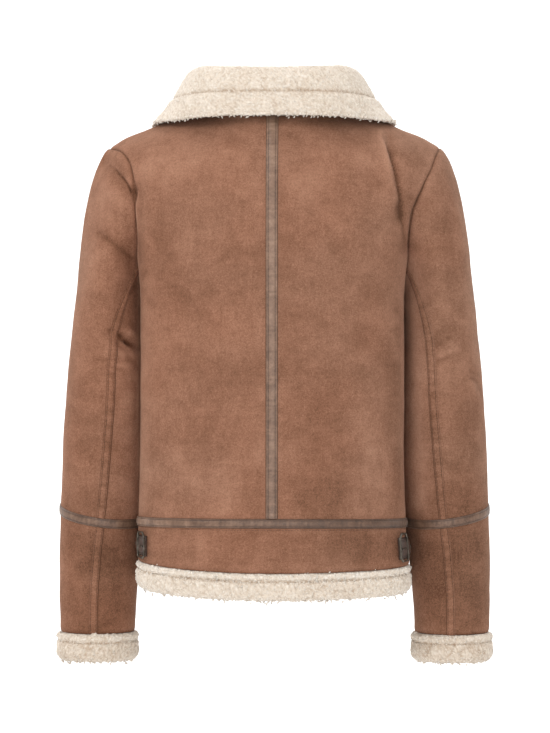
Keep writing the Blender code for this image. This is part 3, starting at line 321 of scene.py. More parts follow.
def cut_off(ends, share):
    """The first share of each curve, as a curve of its own."""
    kept = [ends[0]]
    run = list(ends)
    while len(run) > 1:
        run = [a + share[:, None] * (b - a) for a, b in zip(run, run[1:])]
        kept.append(run[0])
    return np.stack(kept)


def right_shift(face, levels):
    """How far the right side's edge lies from the left's, mirrored."""
    if face < 0:
        return read(RIGHT_SIDE, RIGHT_COLUMNS, "level", ("back_x", "back_y", "back_z"), levels)
    shift = read(RIGHT_SIDE, RIGHT_COLUMNS, "level", ("front_x", "front_z"), levels)
    return np.stack([shift[:, 0], np.zeros(len(shift)), shift[:, 1]], axis=1)


def row_curves(face, levels, side=-1):
    """Every row's curve, as far as the side seam or the armhole."""
    levels = np.asarray(levels, float)
    rows, yoke = (BACK_ROWS, BACK_YOKE) if face < 0 else (FRONT_ROWS, FRONT_YOKE)
    split = rows[-1][0]
    low = np.minimum(levels, split)
    cut = read(rows, ROW_COLUMNS, "level", ("cut",), low)[:, 0]
    below = cut_off(row_ends(rows, ROW_COLUMNS, low), cut)
    knots = np.concatenate([[split], column(yoke, YOKE_COLUMNS, "level")])
    last = cut_off(row_ends(rows, ROW_COLUMNS, np.array([split])), np.array([rows[-1][-1]]))
    table = np.concatenate([last, row_ends(yoke, YOKE_COLUMNS, knots[1:])], axis=1)
    above = np.stack([smooth_points(knots, ends, np.maximum(levels, split)) for ends in table])
    curves = np.where((levels <= split)[None, :, None], below, above)
    if side > 0:
        shift = right_shift(face, levels)
        curves[2] += shift
        curves[3] += shift
    return curves


def edge_points(face, levels, side):
    """The side seam below the underarm, and the armhole above it."""
    return row_curves(face, levels, side)[3]


def top_edge(face):
    """Neck edge and shoulder seam as one run, and the share of it that is neck."""
    neck = even_run(NECK_BACK if face < 0 else NECK_FRONT, ROW_SAMPLES)
    shoulder = even_run(SHOULDER, ROW_SAMPLES)
    neck_length, shoulder_length = along(neck)[-1], along(shoulder)[-1]
    return np.concatenate([neck, shoulder[1:]]), neck_length / (neck_length + shoulder_length)


def in_two_parts(row, neck_part):
    """A row as evenly spaced points up to the shoulder point's column, and then beyond it."""
    length = along(row)[-1]
    to_neck = np.linspace(0.0, length * neck_part, ROW_SAMPLES)
    to_edge = np.linspace(length * neck_part, length, ROW_SAMPLES)
    return spread(row, np.concatenate([to_neck, to_edge[1:]]))


def plain_rows(face, levels, neck_part, side=-1):
    """Rows of points from the centre to the edge, before they turn over the shoulders."""
    t = np.linspace(0.0, 1.0, ROW_SAMPLES)[None, :, None]
    rows = bezier(row_curves(face, levels, side)[:, :, None], t)
    return np.stack([in_two_parts(row, neck_part) for row in rows])


def torso(side, face, levels, from_centre, neck_shares, shoulder_shares):
    """A grid of points on the outer cloth: a row for each level, and a column for each length
    from the centre, each share of the way to the shoulder point, and each share of the rest."""
    levels = np.asarray(levels, float)
    top, neck_part = top_edge(face)
    rows = plain_rows(face, levels, neck_part, side)
    turn = top - plain_rows(face, [TOP_LEVEL], neck_part)[0]
    climb = np.clip((levels - YOKE_LEVEL) / (TOP_LEVEL - YOKE_LEVEL), 0.0, 1.0)
    forward = climb**1.4
    upward = 1.0 - (1.0 - climb)**2
    rows = rows + np.stack([forward[:, None] * turn[:, 0], forward[:, None] * turn[:, 1],
                            upward[:, None] * turn[:, 2]], axis=-1)
    fixed = np.asarray(from_centre, float)
    grid = []
    for row in rows:
        so_far = along(row)
        length, neck_length = so_far[-1], so_far[ROW_SAMPLES - 1]
        to_neck = fixed[-1] + np.asarray(neck_shares) * (neck_length - fixed[-1])
        to_edge = neck_length + np.asarray(shoulder_shares) * (length - neck_length)
        grid.append(spread(row, np.concatenate([fixed, to_neck, to_edge])))
    return np.array(grid) * (side, 1.0, 1.0)


SEAM_SHIFT = {-1: -1.5, 1: 3.0}   # the left sleeve's seam lies further out than the right's


def sleeve_ring(drop):
    """The sleeve's middle and half its width, across and from back to front, at a drop."""
    ring = read(SLEEVE_RINGS, RING_COLUMNS, "drop", RING_COLUMNS[1:5], drop)
    inner, outer, back, front = np.moveaxis(ring, -1, 0)
    return (inner + outer) / 2, (outer - inner) / 2, (back + front) / 2, (front - back) / 2


def back_seam_turn(drop, side):
    """Degrees round from the outer side to the seam at the back of the sleeve."""
    seam_in = read(SLEEVE_RINGS, RING_COLUMNS, "drop", ("seam_in",), drop)[..., 0]
    return 90.0 + np.degrees(np.arcsin((seam_in + SEAM_SHIFT[side]) / sleeve_ring(drop)[1]))


def ring_points(turn, drop):
    """Points on the sleeve below the biceps, by degrees round from its outer side."""
    centre_x, half_x, centre_y, half_y = sleeve_ring(drop)
    angle = np.radians(turn)
    return np.stack([centre_x + half_x * np.cos(angle), centre_y - half_y * np.sin(angle),
                     -np.asarray(drop, float)], axis=-1)


def strip_drop(turn):
    """The slanted line of the sleeve's leather strip."""
    angle = np.radians(turn)
    return STRIP_DROP - STRIP_OUTER_RISE * np.cos(angle) + STRIP_BACK_DROP * np.sin(angle)


def sleeve_columns(armhole_levels):
    """For the top and the under part, each column's place on the armhole (face, level)."""
    high = [level for level in armhole_levels if level >= SEAM_LEVEL]
    low = [level for level in armhole_levels if level <= SEAM_LEVEL]
    top = [(-1, level) for level in high] + [(1, level) for level in reversed(high[:-1])]
    under = [(-1, level) for level in reversed(low)] + [(1, level) for level in low[1:]]
    return {"top": top, "under": under}


def column_turns(part, places, drop, side):
    """Degrees round at a drop, for each of a part's columns, seam to seam. The second column
    lies half a lapped seam's width from the seam at the back."""
    seam = back_seam_turn(drop, side)
    lap = np.degrees(SLEEVE_SEAM_HALF / sleeve_ring(drop)[1])
    front = FRONT_SEAM_TURN if part == "top" else FRONT_SEAM_TURN + 360.0
    sign = -1.0 if part == "top" else 1.0
    turns = np.array([face * -180.0 * (TOP_LEVEL - level) for face, level in places])
    if part == "under":
        turns = np.where(turns < 0, turns + 360.0, turns)
    share = (turns - turns[1]) / (turns[-1] - turns[1])
    share = share[None, :] if np.ndim(drop) else share
    lapped = seam + sign * lap
    lapped = lapped[:, None] if np.ndim(drop) else lapped
    result = lapped + share * (front - lapped)
    result[..., 0] = seam
    return result


def sleeve_cap(places, turns, shares, side):
    """Rows from the armhole to the biceps ring."""
    armhole = np.concatenate([edge_points(face, [level], side) for face, level in places])
    biceps = ring_points(turns, np.full(len(places), float(BICEPS_DROP)))
    from_top = np.array([180.0 * (TOP_LEVEL - level) for _, level in places])
    faces = np.array([face for face, _ in places], float)
    leave = read(SLEEVE_CAP, CAP_COLUMNS, "turn", ("leave_x", "leave_y", "leave_z"), from_top)
    arrive = read(SLEEVE_CAP, CAP_COLUMNS, "turn", ("arrive_x", "arrive_y", "arrive_z"), from_top)
    leave[:, 1] *= faces
    arrive[:, 1] *= faces
    t = np.asarray(shares, float)[:, None, None]
    return ((2 * t**3 - 3 * t**2 + 1) * armhole + (t**3 - 2 * t**2 + t) * leave
            + (3 * t**2 - 2 * t**3) * biceps + (t**3 - t**2) * arrive)


def sleeve_row(side, part, places, start, drop_at):
    """A row round the sleeve whose drop follows the strip's slanted line."""
    turns = column_turns(part, places, float(start), side)
    for _ in range(SLANT_ROUNDS):
        drop = drop_at(strip_drop(turns))
        turns = np.diagonal(column_turns(part, places, drop, side)).copy()
    return ring_points(turns, drop)


def sleeve_part(side, part):
    """The upper sleeve's top or under sheet, from the armhole to the strip."""
    places = sleeve_columns(ARMHOLE_LEVELS)[part]
    turns = column_turns(part, places, float(BICEPS_DROP), side)
    cap = sleeve_cap(places, turns, CAP_SHARES, side)
    rows = [sleeve_row(side, part, places, STRIP_DROP,
                       lambda line: BICEPS_DROP + share * (line - BICEPS_DROP))
            for share in SLEEVE_SHARES]
    rows += [sleeve_row(side, part, places, STRIP_DROP, lambda line: line + offset)
             for offset in (-WAIST_STRIP_HALF, 0.0)]
    return np.concatenate([cap, from_the_top(rows)]) * (side, 1.0, 1.0)


def forearm_part(side, part):
    """The lower sleeve's top or under sheet, from the strip to the wrist."""
    places = sleeve_columns(ARMHOLE_LEVELS)[part]
    rows = [sleeve_row(side, part, places, WRIST_DROP,
                       lambda line: line + share * (WRIST_DROP - line))
            for share in FOREARM_SHARES]
    rows += [sleeve_row(side, part, places, STRIP_DROP, lambda line: line + offset)
             for offset in (0.0, WAIST_STRIP_HALF)]
    return from_the_top(rows) * (side, 1.0, 1.0)


def from_the_top(rows):
    rows = np.array(rows)
    return rows[np.argsort(-rows[:, 0, 2])]


def sheet_normals(grid, inside):
    """Normals of a grid of points, pointing away from the points inside it."""
    down = np.gradient(grid, axis=0)
    across = np.gradient(grid, axis=1)
    normals = unit(np.cross(down, across))
    if np.mean(np.sum(normals * (grid - inside), axis=-1)) < 0:
        normals = -normals
    return normals


def place_key(point):
    return tuple(np.round(np.asarray(point) * 50.0).astype(int))


def share_normals(sheets):
    """Where sheets meet they take the mean of their normals, longer by the mitre. Sheets that
    run on into each other there count as one."""
    met = {}
    for grid, normals in sheets.values():
        for point, normal in zip(grid.reshape(-1, 3), normals.reshape(-1, 3)):
            groups = met.setdefault(place_key(point), [])
            alike = [group for group in groups if np.dot(unit(group[0]), normal) > RUN_ON]
            if alike:
                alike[0][0] = alike[0][0] + normal
            else:
                groups.append([normal])
    mitred = {}
    for key, groups in met.items():
        directions = [unit(group[0]) for group in groups]
        mean = unit(np.sum(directions, axis=0))
        cosine = np.mean([np.dot(mean, direction) for direction in directions])
        mitred[key] = mean / max(cosine, SHARPEST_MITRE)
    shared = {}
    for name, (grid, normals) in sheets.items():
        flat = np.array([mitred[place_key(point)] for point in grid.reshape(-1, 3)])
        shared[name] = (grid, flat.reshape(normals.shape))
    return shared


def draw_back(grid):
    """Move a grid's outer rows and columns a little towards its middle."""
    moved = grid.copy()
    moved[0] += SEAM_EASE * unit(grid[1] - grid[0])
    moved[-1] += SEAM_EASE * unit(grid[-2] - grid[-1])
    moved[:, 0] += SEAM_EASE * unit(grid[:, 1] - grid[:, 0])
    moved[:, -1] += SEAM_EASE * unit(grid[:, -2] - grid[:, -1])
    return moved


def joined(left, right):
    """Two sheets that share their first column, as one, from left to right."""
    return tuple(np.concatenate([a[:, :0:-1], b], axis=1) for a, b in zip(left, right))


def hoop(sheets, left_to_right, row):
    """One row of several sheets joined end to end: points and normals."""
    runs = [[part[row][::-1] if backwards else part[row] for part in sheets[name][:2]]
            for name, backwards in left_to_right]
    return [np.concatenate([run[k][min(number, 1):] for number, run in enumerate(runs)])
            for k in (0, 1)]


def sleeve_hoop(sheets, kind, hand, row):
    """A row right round the sleeve, its last point not repeated."""
    top, under = sheets[f"{kind}_top_{hand}"], sheets[f"{kind}_under_{hand}"]
    return tuple(np.concatenate([top[k][row], under[k][row][-2:0:-1]]) for k in (0, 1))


def zip_line(levels):
    """The middle of the front, and the way it faces."""
    points = row_curves(1, levels)[0] * (0.0, 1.0, 1.0)
    run = unit(np.gradient(points, axis=0))
    facing = np.stack([np.zeros(len(levels)), run[:, 2], -run[:, 1]], axis=-1)
    return points, facing


# ---------------------------------------------------------------- finer sampling of the cloth

BODY_LEVELS = tuple(np.linspace(0.0, 1.0, 90)[:-1])
ARMHOLE_LEVELS = tuple(round(1.0 + 0.015 * k, 4) for k in range(66)) + (1.99, 2.0)
BAND_LEVELS = tuple(np.linspace(0.0, -0.92, 13)) + (-0.955, -0.98, -1.0)
NECK_SHARES = tuple(np.linspace(0.0, 1.0, 24)[1:])
SHOULDER_SHARES = tuple(np.linspace(0.0, 0.965, 40)[1:]) + (0.982, 0.992, 1.0)
CAP_SHARES = (0.0, 0.007, 0.018) + tuple(np.linspace(0.035, 0.98, 66))
SLEEVE_SHARES = tuple(np.linspace(0.0, 0.96, 76))
FOREARM_SHARES = tuple(np.linspace(0.06, 0.975, 38)) + (0.99, 1.0)
CENTRE_STEPS = (0.0, 2.4, 4.8, 7.2)
PILE_STEP = 1.75          # spacing of the pile's ground

# Small wrinkles that the solids leave out, as in CREASES
WRINKLES = (
    (-1, -206, -78, -176, -106, 5.0, 1.4),
    (-1, -216, -166, -173, -197, 3.0, -1.6),
    (-1, -187, -293, -176, -302, 2.6, -3.2),
    (-1, -177, -302, -166, -309, 3.0, -4.2),
    (-1, -178, -288, -166, -296, 4.5, 2.4),
    (-1, -199, -286, -184, -294, 2.0, -1.3),
    (-1, -198, -294, -184, -299, 2.0, -1.2),
    (-1, 243, -336, 252, -341, 2.2, -1.2),
    (-1, 243, -344, 253, -350, 2.2, -1.3),
    (-1, 134, -56, 150, -128, 4.0, 1.2),
    (-1, -155, -215, -176, -238, 3.2, -1.2),
    (-1, -216, -322, -180, -324, 3.5, -1.6),
    (-1, -205, -330, -178, -338, 3.0, -1.4),
    (-1, -196, -311, -172, -317, 3.5, 1.2),
    (-1, -190, -303, -170, -330, 4.0, -1.8),
    (-1, 196, -306, 218, -296, 3.5, -1.5),
    (-1, 204, -318, 226, -308, 3.5, 1.2),
    (-1, 198, -326, 214, -320, 3.0, -1.2),
    (-1, 243, -352, 256, -372, 4.0, 1.2),
    (-1, 151, -262, 163, -274, 4.0, -1.4),
    (-1, 153, -276, 164, -284, 4.0, 1.0),
    (-1, -168, -228, -150, -252, 6.0, -1.2),
    (-1, -60, -72, -150, -96, 16.0, 0.9),
    (-1, 60, -70, 148, -92, 16.0, 0.9),
    (-1, -40, -470, -60, -512, 9.0, 0.7),
    (-1, 34, -478, 48, -514, 9.0, -0.7),
    (-1, 96, -486, 110, -516, 8.0, 0.6),
    (-1, -104, -482, -116, -515, 8.0, -0.6),
    (-1, -24, -536, -34, -572, 7.0, -0.6),
    (-1, 58, -534, 66, -574, 7.0, 0.6),
    (-1, -86, -534, -82, -574, 7.0, 0.6),
    (-1, 116, -534, 110, -572, 7.0, -0.6),
)


# Painted highlights and painted shade along lines: paler (positive) along edges that catch the
# light and in shaded gaps, darker where less light falls, as on the forearms: a line on the face,
# its width and how much
LIGHT_AND_SHADE_LINES = (
    (-1, -167, -118, -168, -514, 1.7, 0.55),
    (-1, 162, -330, 164, -514, 1.6, 0.22),
    (-1, -156, -230, -160, -505, 9.0, 0.20),
    (-1, 146, -330, 152, -505, 9.0, -0.16),
    (-1, -178, -300, -176, -515, 11.0, 0.24),
    (-1, -205, -130, -225, -230, 20.0, 0.13),
    (-1, 168, -200, 178, -500, 12.0, 0.48),
    (-1, 60, -330, 80, -510, 34.0, -0.12),
    (-1, 120, -380, 130, -500, 16.0, 0.10),
    (-1, -120, -90, 40, -100, 30.0, 0.12),
    (-1, -60, -450, -110, -500, 26.0, 0.09),
    (-1, -130, -180, -100, -260, 14.0, -0.10),
    (-1, 20, -150, 24, -230, 12.0, -0.08),
    (-1, 60, -548, 150, -546, 20.0, -0.16),
    (-1, -210, -560, -210, -660, 60.0, -0.30),
    (-1, 215, -560, 215, -660, 60.0, -0.32),
    (-1, 236, -360, 240, -510, 14.0, -0.14),
    (-1, 196, -330, 200, -500, 8.0, -0.10),
    (-1, -262, -300, -266, -500, 4.0, 0.12),
    (-1, 262, -230, 268, -500, 3.0, 0.08),
)


def far_in(grid):
    """How far each point of a grid lies from its first and last row and column."""
    down = np.linalg.norm(np.diff(grid, axis=0), axis=-1)
    down = np.concatenate([np.zeros((1, grid.shape[1])), np.cumsum(down, axis=0)])
    across = np.linalg.norm(np.diff(grid, axis=1), axis=-1)
    across = np.concatenate([np.zeros((grid.shape[0], 1)), np.cumsum(across, axis=1)], axis=1)
    return {"first_row": down, "last_row": down[-1:] - down,
            "first_column": across, "last_column": across[:, -1:] - across}


SEAM_SINK, SEAM_REACH = 1.1, 1.3                     # how deep and wide cloth dips at a seam
PUFF_RISE, PUFF_AWAY, PUFF_REACH = 0.35, 7.0, 4.0    # and how it puffs up beside it
SWELLS = ((55.0, 0.9, 3.0), (17.0, 0.3, 9.0))        # size, height and seed
FOLD_SHADE, FINE_SHADE, ROLL_SHADE = 16.0, 9.0, 3.6  # height that makes the painted shade differ by one
LIGHT_AND_SHADE_START, LIGHT_AND_SHADE_FULL = -0.35, 0.3


def seam_roll(grid, seams):
    """How far the cloth turns in at its seams, with a soft puff beside them."""
    away = far_in(grid)
    sunk = np.zeros(grid.shape[:2])
    for seam in seams:
        sunk -= SEAM_SINK * np.exp(-(away[seam] / SEAM_REACH)**2)
        sunk += PUFF_RISE * np.exp(-((away[seam] - PUFF_AWAY) / PUFF_REACH)**2)
    return sunk


def nap_swell(grid, size, height, seed):
    """A slow unevenness of the cloth."""
    flat = grid.reshape(-1, 3) / size + seed
    return height * np.array([noise.noise(Vector(p)) for p in flat]).reshape(grid.shape[:2])


def from_line(grid, x0, z0, x1, z1):
    """How far along a line on the face each point lies, and how far away from it."""
    run = np.array([x1 - x0, z1 - z0], float)
    offset = np.stack([grid[..., 0] - x0, grid[..., 2] - z0], axis=-1)
    share = np.clip(offset @ run / (run @ run), 0.0, 1.0)
    return share, np.linalg.norm(offset - share[..., None] * run, axis=-1)


def creases_of(table, grid, normals, start=FACING_START, full=FACING_FULL):
    """The height that a table of creases gives each point."""
    height = np.zeros(grid.shape[:-1])
    directions = unit(normals)
    for face, x0, z0, x1, z1, width, rise in table:
        _, away = from_line(grid, x0, z0, x1, z1)
        facing = (face * directions[..., 1] - start) / full
        height += np.clip(facing, 0.0, 1.0) * rise * np.exp(-(away / width)**2)
    return height


# Creases that turn as they run: the width, and points on the back with the rise at each
FOLDS = (
    (1.9, ((133, -50, -1.2), (142, -64, -2.6), (150, -92, -3.0), (156, -122, -3.0),
           (159, -150, -2.6), (161, -178, -1.8), (162, -215, 0.0))),
    (1.8, ((-212, -75, -1.0), (-196, -88, -2.6), (-184, -100, -3.2), (-172, -117, -3.0))),
)


def folds_of(table, grid, normals):
    """The height that a table of turning creases gives each point of the back."""
    height = np.zeros(grid.shape[:-1])
    facing = np.clip((-unit(normals)[..., 1] - FACING_START) / FACING_FULL, 0.0, 1.0)
    for width, points in table:
        nearest = np.full(height.shape, FAR)
        rise = np.zeros(height.shape)
        for (x0, z0, first), (x1, z1, last) in zip(points, points[1:]):
            share, away = from_line(grid, x0, z0, x1, z1)
            rise = np.where(away < nearest, first + (last - first) * share, rise)
            nearest = np.minimum(nearest, away)
        height += facing * rise * np.exp(-(nearest / width)**2)
    return height


SEAMS = {"back_panel": ("last_column", "last_row"), "front_panel": ("last_column", "last_row"),
         "back_band": ("last_column", "last_row"), "front_band": ("last_column", "last_row"),
         "sleeve": ("first_row", "last_column"), "forearm": ("last_column", "last_row")}


def make_sheets():
    """Every panel's outer points, normals and painted shade, creased, with seams shared."""
    sheets = {}
    for side, hand in ((-1, "left"), (1, "right")):
        back_columns = (CENTRE_STEPS, NECK_SHARES, SHOULDER_SHARES)
        front_columns = ((0.0,), NECK_SHARES, SHOULDER_SHARES)
        for face, part, columns in ((-1, "back", back_columns), (1, "front", front_columns)):
            for kind, levels in (("panel", BODY_LEVELS + ARMHOLE_LEVELS), ("band", BAND_LEVELS)):
                grid = torso(side, face, levels, *columns)
                inside = grid * (0.0, 0.0, 1.0)
                sheets[f"{part}_{kind}_{hand}"] = (grid, sheet_normals(grid, inside))
        for part in ("top", "under"):
            for kind, grid in (("sleeve", sleeve_part(side, part)),
                               ("forearm", forearm_part(side, part))):
                x, _, y, _ = sleeve_ring(np.clip(-grid[..., 2], BICEPS_DROP, WRIST_DROP))
                middle = np.stack([side * x, y, grid[..., 2]], axis=-1)
                sheets[f"{kind}_{part}_{hand}"] = (grid, sheet_normals(grid, middle))
    sheets = share_normals(sheets)
    creased = {}
    for name, (grid, normals) in sheets.items():
        seams = next(edges for key, edges in SEAMS.items() if name.startswith(key))
        fine = creases_of(WRINKLES, grid, normals) + folds_of(FOLDS, grid, normals)
        folds = creases_of(CREASES, grid, normals) + fine
        swell = sum(nap_swell(grid, *row) for row in SWELLS)
        roll = seam_roll(grid, seams)
        height = folds + swell + roll
        # painted shade: darker in creases and where the cloth turns in at seams, paler on ridges
        # and puffs, plus the lines of painted highlight and shade
        shade = (creases_of(LIGHT_AND_SHADE_LINES, grid, normals, LIGHT_AND_SHADE_START, LIGHT_AND_SHADE_FULL) + folds / FOLD_SHADE
                 + fine / FINE_SHADE + roll / ROLL_SHADE)
        creased[name] = (grid + height[..., None] * unit(normals), normals,
                         np.clip(shade, -1.0, 1.0))
    return creased


# ---------------------------------------------------------------- materials

class Finish:
    """A material and short ways to add to its nodes."""

    def __init__(self, name, roughness=0.8, metallic=0.0, **sockets):
        self.material = bpy.data.materials.new(name)
        self.material.use_nodes = True
        self.tree = self.material.node_tree
        self.shader = self.tree.nodes["Principled BSDF"]
        self.feed(self.shader, {"Roughness": roughness, "Metallic": metallic})
        self.feed(self.shader, {key.replace("_", " "): sockets[key] for key in sockets})

    def feed(self, node, inputs):
        """Set inputs of a node, each to a value or from another node's output."""
        for key, value in inputs.items():
            if isinstance(value, (int, float, tuple)):
                node.inputs[key].default_value = value
            else:
                self.tree.links.new(value, node.inputs[key])

    def node(self, kind, output, inputs, **settings):
        """Add a node and give one of its outputs."""
        made = self.tree.nodes.new("ShaderNode" + kind)
        for key, value in settings.items():
            setattr(made, key, value)
        self.feed(made, inputs)
        return made.outputs[output]

    def place(self, stretch=(1.0, 1.0, 1.0), uv=False, turn=(0.0, 0.0, 0.0)):
        source = self.node("TexCoord", "UV" if uv else "Object", {})
        return self.node("Mapping", "Vector", {"Vector": source, "Scale": stretch,
                                               "Rotation": turn})

    def cloud(self, place, scale, detail=3.0, roughness=0.55, distortion=0.0):
        return self.node("TexNoise", "Fac", {"Vector": place, "Scale": scale, "Detail": detail,
                                             "Roughness": roughness, "Distortion": distortion})

    def cells(self, place, scale):
        return self.node("TexVoronoi", "Distance", {"Vector": place, "Scale": scale},
                         feature="SMOOTH_F1")

    def wave(self, place, scale, distortion, detail, along="X"):
        return self.node("TexWave", "Fac", {"Vector": place, "Scale": scale, "Detail": detail,
                                            "Distortion": distortion}, bands_direction=along)

    def sum(self, *terms, base=0.0):
        """base plus each (value, factor), as nodes."""
        total = base
        for value, factor in terms:
            total = self.node("Math", 0, {0: value, 1: factor, 2: total},
                              operation="MULTIPLY_ADD")
        return total

    def mesh_value(self, name):
        """A value that the piece's own mesh carries."""
        return self.node("Attribute", "Fac", {}, attribute_name=name)

    def ramp(self, value, stops):
        colour = self.node("ValToRGB", "Color", {"Fac": value})
        points = colour.node.color_ramp.elements
        while len(points) < len(stops):
            points.new(0.5)
        for point, (at, shown) in zip(points, stops):
            point.position = at
            point.color = (*shown, 1.0)
        return colour

    def across(self, place):
        return self.node("SeparateXYZ", "X", {"Vector": place})

    def vary_gloss(self, value, share, base):
        self.feed(self.shader, {"Roughness": self.sum((value, share), base=base)})

    def colour(self, value, stops, other=None, share=0.0):
        """A ramp of colours, or a mix of two by a share."""
        found = self.ramp(value, stops)
        if other:
            found = self.node("Mix", 2, {0: share, 6: found, 7: self.ramp(value, other)},
                              data_type="RGBA", clamp_factor=True)
        self.feed(self.shader, {"Base Color": found})

    def bump(self, height, distance, strength=1.0):
        inputs = {"Height": height, "Distance": distance, "Strength": strength}
        before = self.shader.inputs["Normal"]
        if before.is_linked:
            inputs["Normal"] = before.links[0].from_socket
        self.feed(self.shader, {"Normal": self.node("Bump", "Normal", inputs)})


def suede_finish():
    """Brushed suede: cloudy nap with small smudges, and the painted shade and highlights that its
    mesh carries: darker in its creases and seams, paler and darker along given lines.
    """
    made = Finish("brushed_suede", 0.92, Sheen_Weight=0.14, Sheen_Roughness=0.4,
                  Sheen_Tint=(0.95, 0.66, 0.48, 1.0), Specular_IOR_Level=0.12)
    place = made.place()
    smear = made.place(stretch=(0.8, 1.0, 1.15))
    scuff = made.place(stretch=(0.45, 1.0, 1.6), turn=(0.0, 0.3, 0.0))
    streak = made.place(stretch=(1.7, 1.0, 0.5))
    # the mesh's shade value adds painted shade and highlight to the nap's tone
    tone = made.sum((made.cloud(place, 11.0, 2.0), 0.24),
                    (made.cloud(smear, 30.0, 3.0, 0.5, 0.5), 0.36),
                    (made.cloud(scuff, 110.0, 5.0, 0.65, 0.4), 0.20),
                    (made.cloud(streak, 90.0, 4.0, 0.6, 0.4), 0.20),
                    (made.cloud(place, 400.0, 2.0, 0.8), 0.40),
                    (made.cloud(place, 800.0, 3.0, 0.8), 0.50), (made.mesh_value("shade"), 0.55),
                    base=-0.462)
    patch = made.sum((made.cloud(place, 7.0, 2.0), 2.2), (made.across(place), 1.6), base=-0.75)
    made.colour(tone, SUEDE_STOPS, OLIVE_STOPS, patch)
    made.bump(made.cloud(place, 1300.0, 3.0, 0.7), 0.0006, 0.55)
    made.bump(made.cloud(scuff, 210.0, 4.0, 0.6, 0.5), 0.0014, 0.4)
    return made.material


SUEDE_STOPS = ((0.16, (0.100, 0.042, 0.022)), (0.38, (0.190, 0.085, 0.049)),
               (0.55, (0.262, 0.124, 0.076)), (0.88, (0.410, 0.215, 0.138)))
OLIVE_STOPS = ((0.16, (0.094, 0.044, 0.025)), (0.38, (0.180, 0.088, 0.053)),
               (0.55, (0.248, 0.127, 0.081)), (0.88, (0.390, 0.218, 0.147)))


def leather_finish():
    """Soft binding leather, grey-brown, wrinkled across its length, with painted shade from its
    mesh on its wrinkles and at its edges.
    """
    made = Finish("binding_leather", 0.46, Specular_IOR_Level=0.42, Sheen_Weight=0.12,
                  Sheen_Tint=(0.9, 0.8, 0.7, 1.0))
    place = made.place()
    ribs = made.place(uv=True)
    rib = made.cloud(ribs, 260.0, 3.0)
    grain = made.cells(place, 900.0)
    tone = made.sum((made.cloud(place, 60.0, 4.0, 0.6), 0.5), (made.cloud(place, 400.0, 3.0), 0.3),
                    (rib, 0.2), (made.mesh_value("shade"), 0.75), base=-0.02)
    made.colour(tone, ((0.0, (0.022, 0.0105, 0.006)), (0.36, (0.100, 0.053, 0.032)),
                       (0.60, (0.205, 0.119, 0.077)), (0.9, (0.34, 0.224, 0.158))))
    made.bump(rib, 0.0008, 0.5)
    made.bump(grain, 0.0003, 0.5)
    made.vary_gloss(made.cloud(place, 130.0, 3.0), 0.35, 0.26)
    return made.material


def dark_shaded_leather_finish():
    # dark leather, darkened further as painted shade for straps that sit in shade at the sides
    made = Finish("strap_leather", 0.42, Specular_IOR_Level=0.5)
    place = made.place()
    tone = made.sum((made.cloud(place, 90.0, 4.0, 0.6), 0.7), (made.cloud(place, 700.0, 3.0), 0.3),
                    (made.mesh_value("shade"), 0.5))
    made.colour(tone, ((0.2, (0.016, 0.009, 0.007)), (0.5, (0.050, 0.028, 0.020)),
                       (0.85, (0.115, 0.070, 0.050))))
    made.bump(made.cells(place, 1100.0), 0.0004, 0.6)
    made.bump(made.cloud(place, 150.0, 4.0), 0.001, 0.3)
    made.vary_gloss(made.cloud(place, 200.0, 3.0), 0.35, 0.24)
    return made.material


def pile_finish():
    """Cream pile: warm brown at its roots and in the pits between its nubs by painted shade, pale
    at its tips, each curl a little its own tone.
    """
    made = Finish("curly_pile", 0.92, Sheen_Weight=0.35, Sheen_Roughness=0.5,
                  Sheen_Tint=(1.0, 0.96, 0.9, 1.0), Specular_IOR_Level=0.15)
    place = made.place()
    nubs = made.cells(place, 300.0)
    # painted shade: paler towards the tips, darker at the roots and in the pits between nubs
    tone = made.sum((made.mesh_value("tip"), 0.66), (made.mesh_value("tone"), 0.16),
                    (made.cloud(place, 35.0, 3.0), 0.20),
                    (made.cloud(place, 600.0, 3.0, 0.7), 0.26), (nubs, -0.24), base=0.01)
    made.colour(tone, PILE_STOPS)
    made.bump(nubs, -0.0024, 0.9)
    made.bump(made.cloud(place, 1400.0, 4.0, 0.7, 0.8), 0.0009, 0.6)
    return made.material


# the dark stops are the painted shade of roots and pits
PILE_STOPS = ((0.05, (0.215, 0.128, 0.078)), (0.26, (0.450, 0.340, 0.250)),
              (0.46, (0.665, 0.568, 0.468)), (0.74, (0.835, 0.765, 0.682)))


def lining_finish():
    """The pile on the inside of the cloth, combed short, with painted shade between its curls."""
    made = Finish("pile_lining", 0.95, Sheen_Weight=0.3, Sheen_Tint=(1.0, 0.96, 0.9, 1.0),
                  Specular_IOR_Level=0.15)
    place = made.place()
    curls = made.cells(place, 230.0)
    tone = made.sum((curls, 0.9), (made.cloud(place, 900.0, 3.0, 0.7), 0.3),
                    (made.cloud(place, 30.0, 3.0), 0.2), base=-0.05)
    made.colour(tone, ((0.1, (0.80, 0.73, 0.63)), (0.45, (0.72, 0.63, 0.52)),
                       (0.9, (0.42, 0.31, 0.21))))
    made.bump(curls, -0.004, 1.0)
    made.bump(made.cloud(place, 900.0, 4.0, 0.7, 0.8), 0.0012, 0.7)
    return made.material


def thread_finish():
    made = Finish("stitching_thread", 0.6, Specular_IOR_Level=0.3)
    place = made.place()
    made.colour(made.cloud(place, 500.0, 2.0), ((0.3, (0.050, 0.026, 0.018)),
                                                (0.7, (0.105, 0.060, 0.042))))
    made.bump(made.wave(place, 900.0, 1.0, 2.0), 0.0003, 0.6)
    return made.material


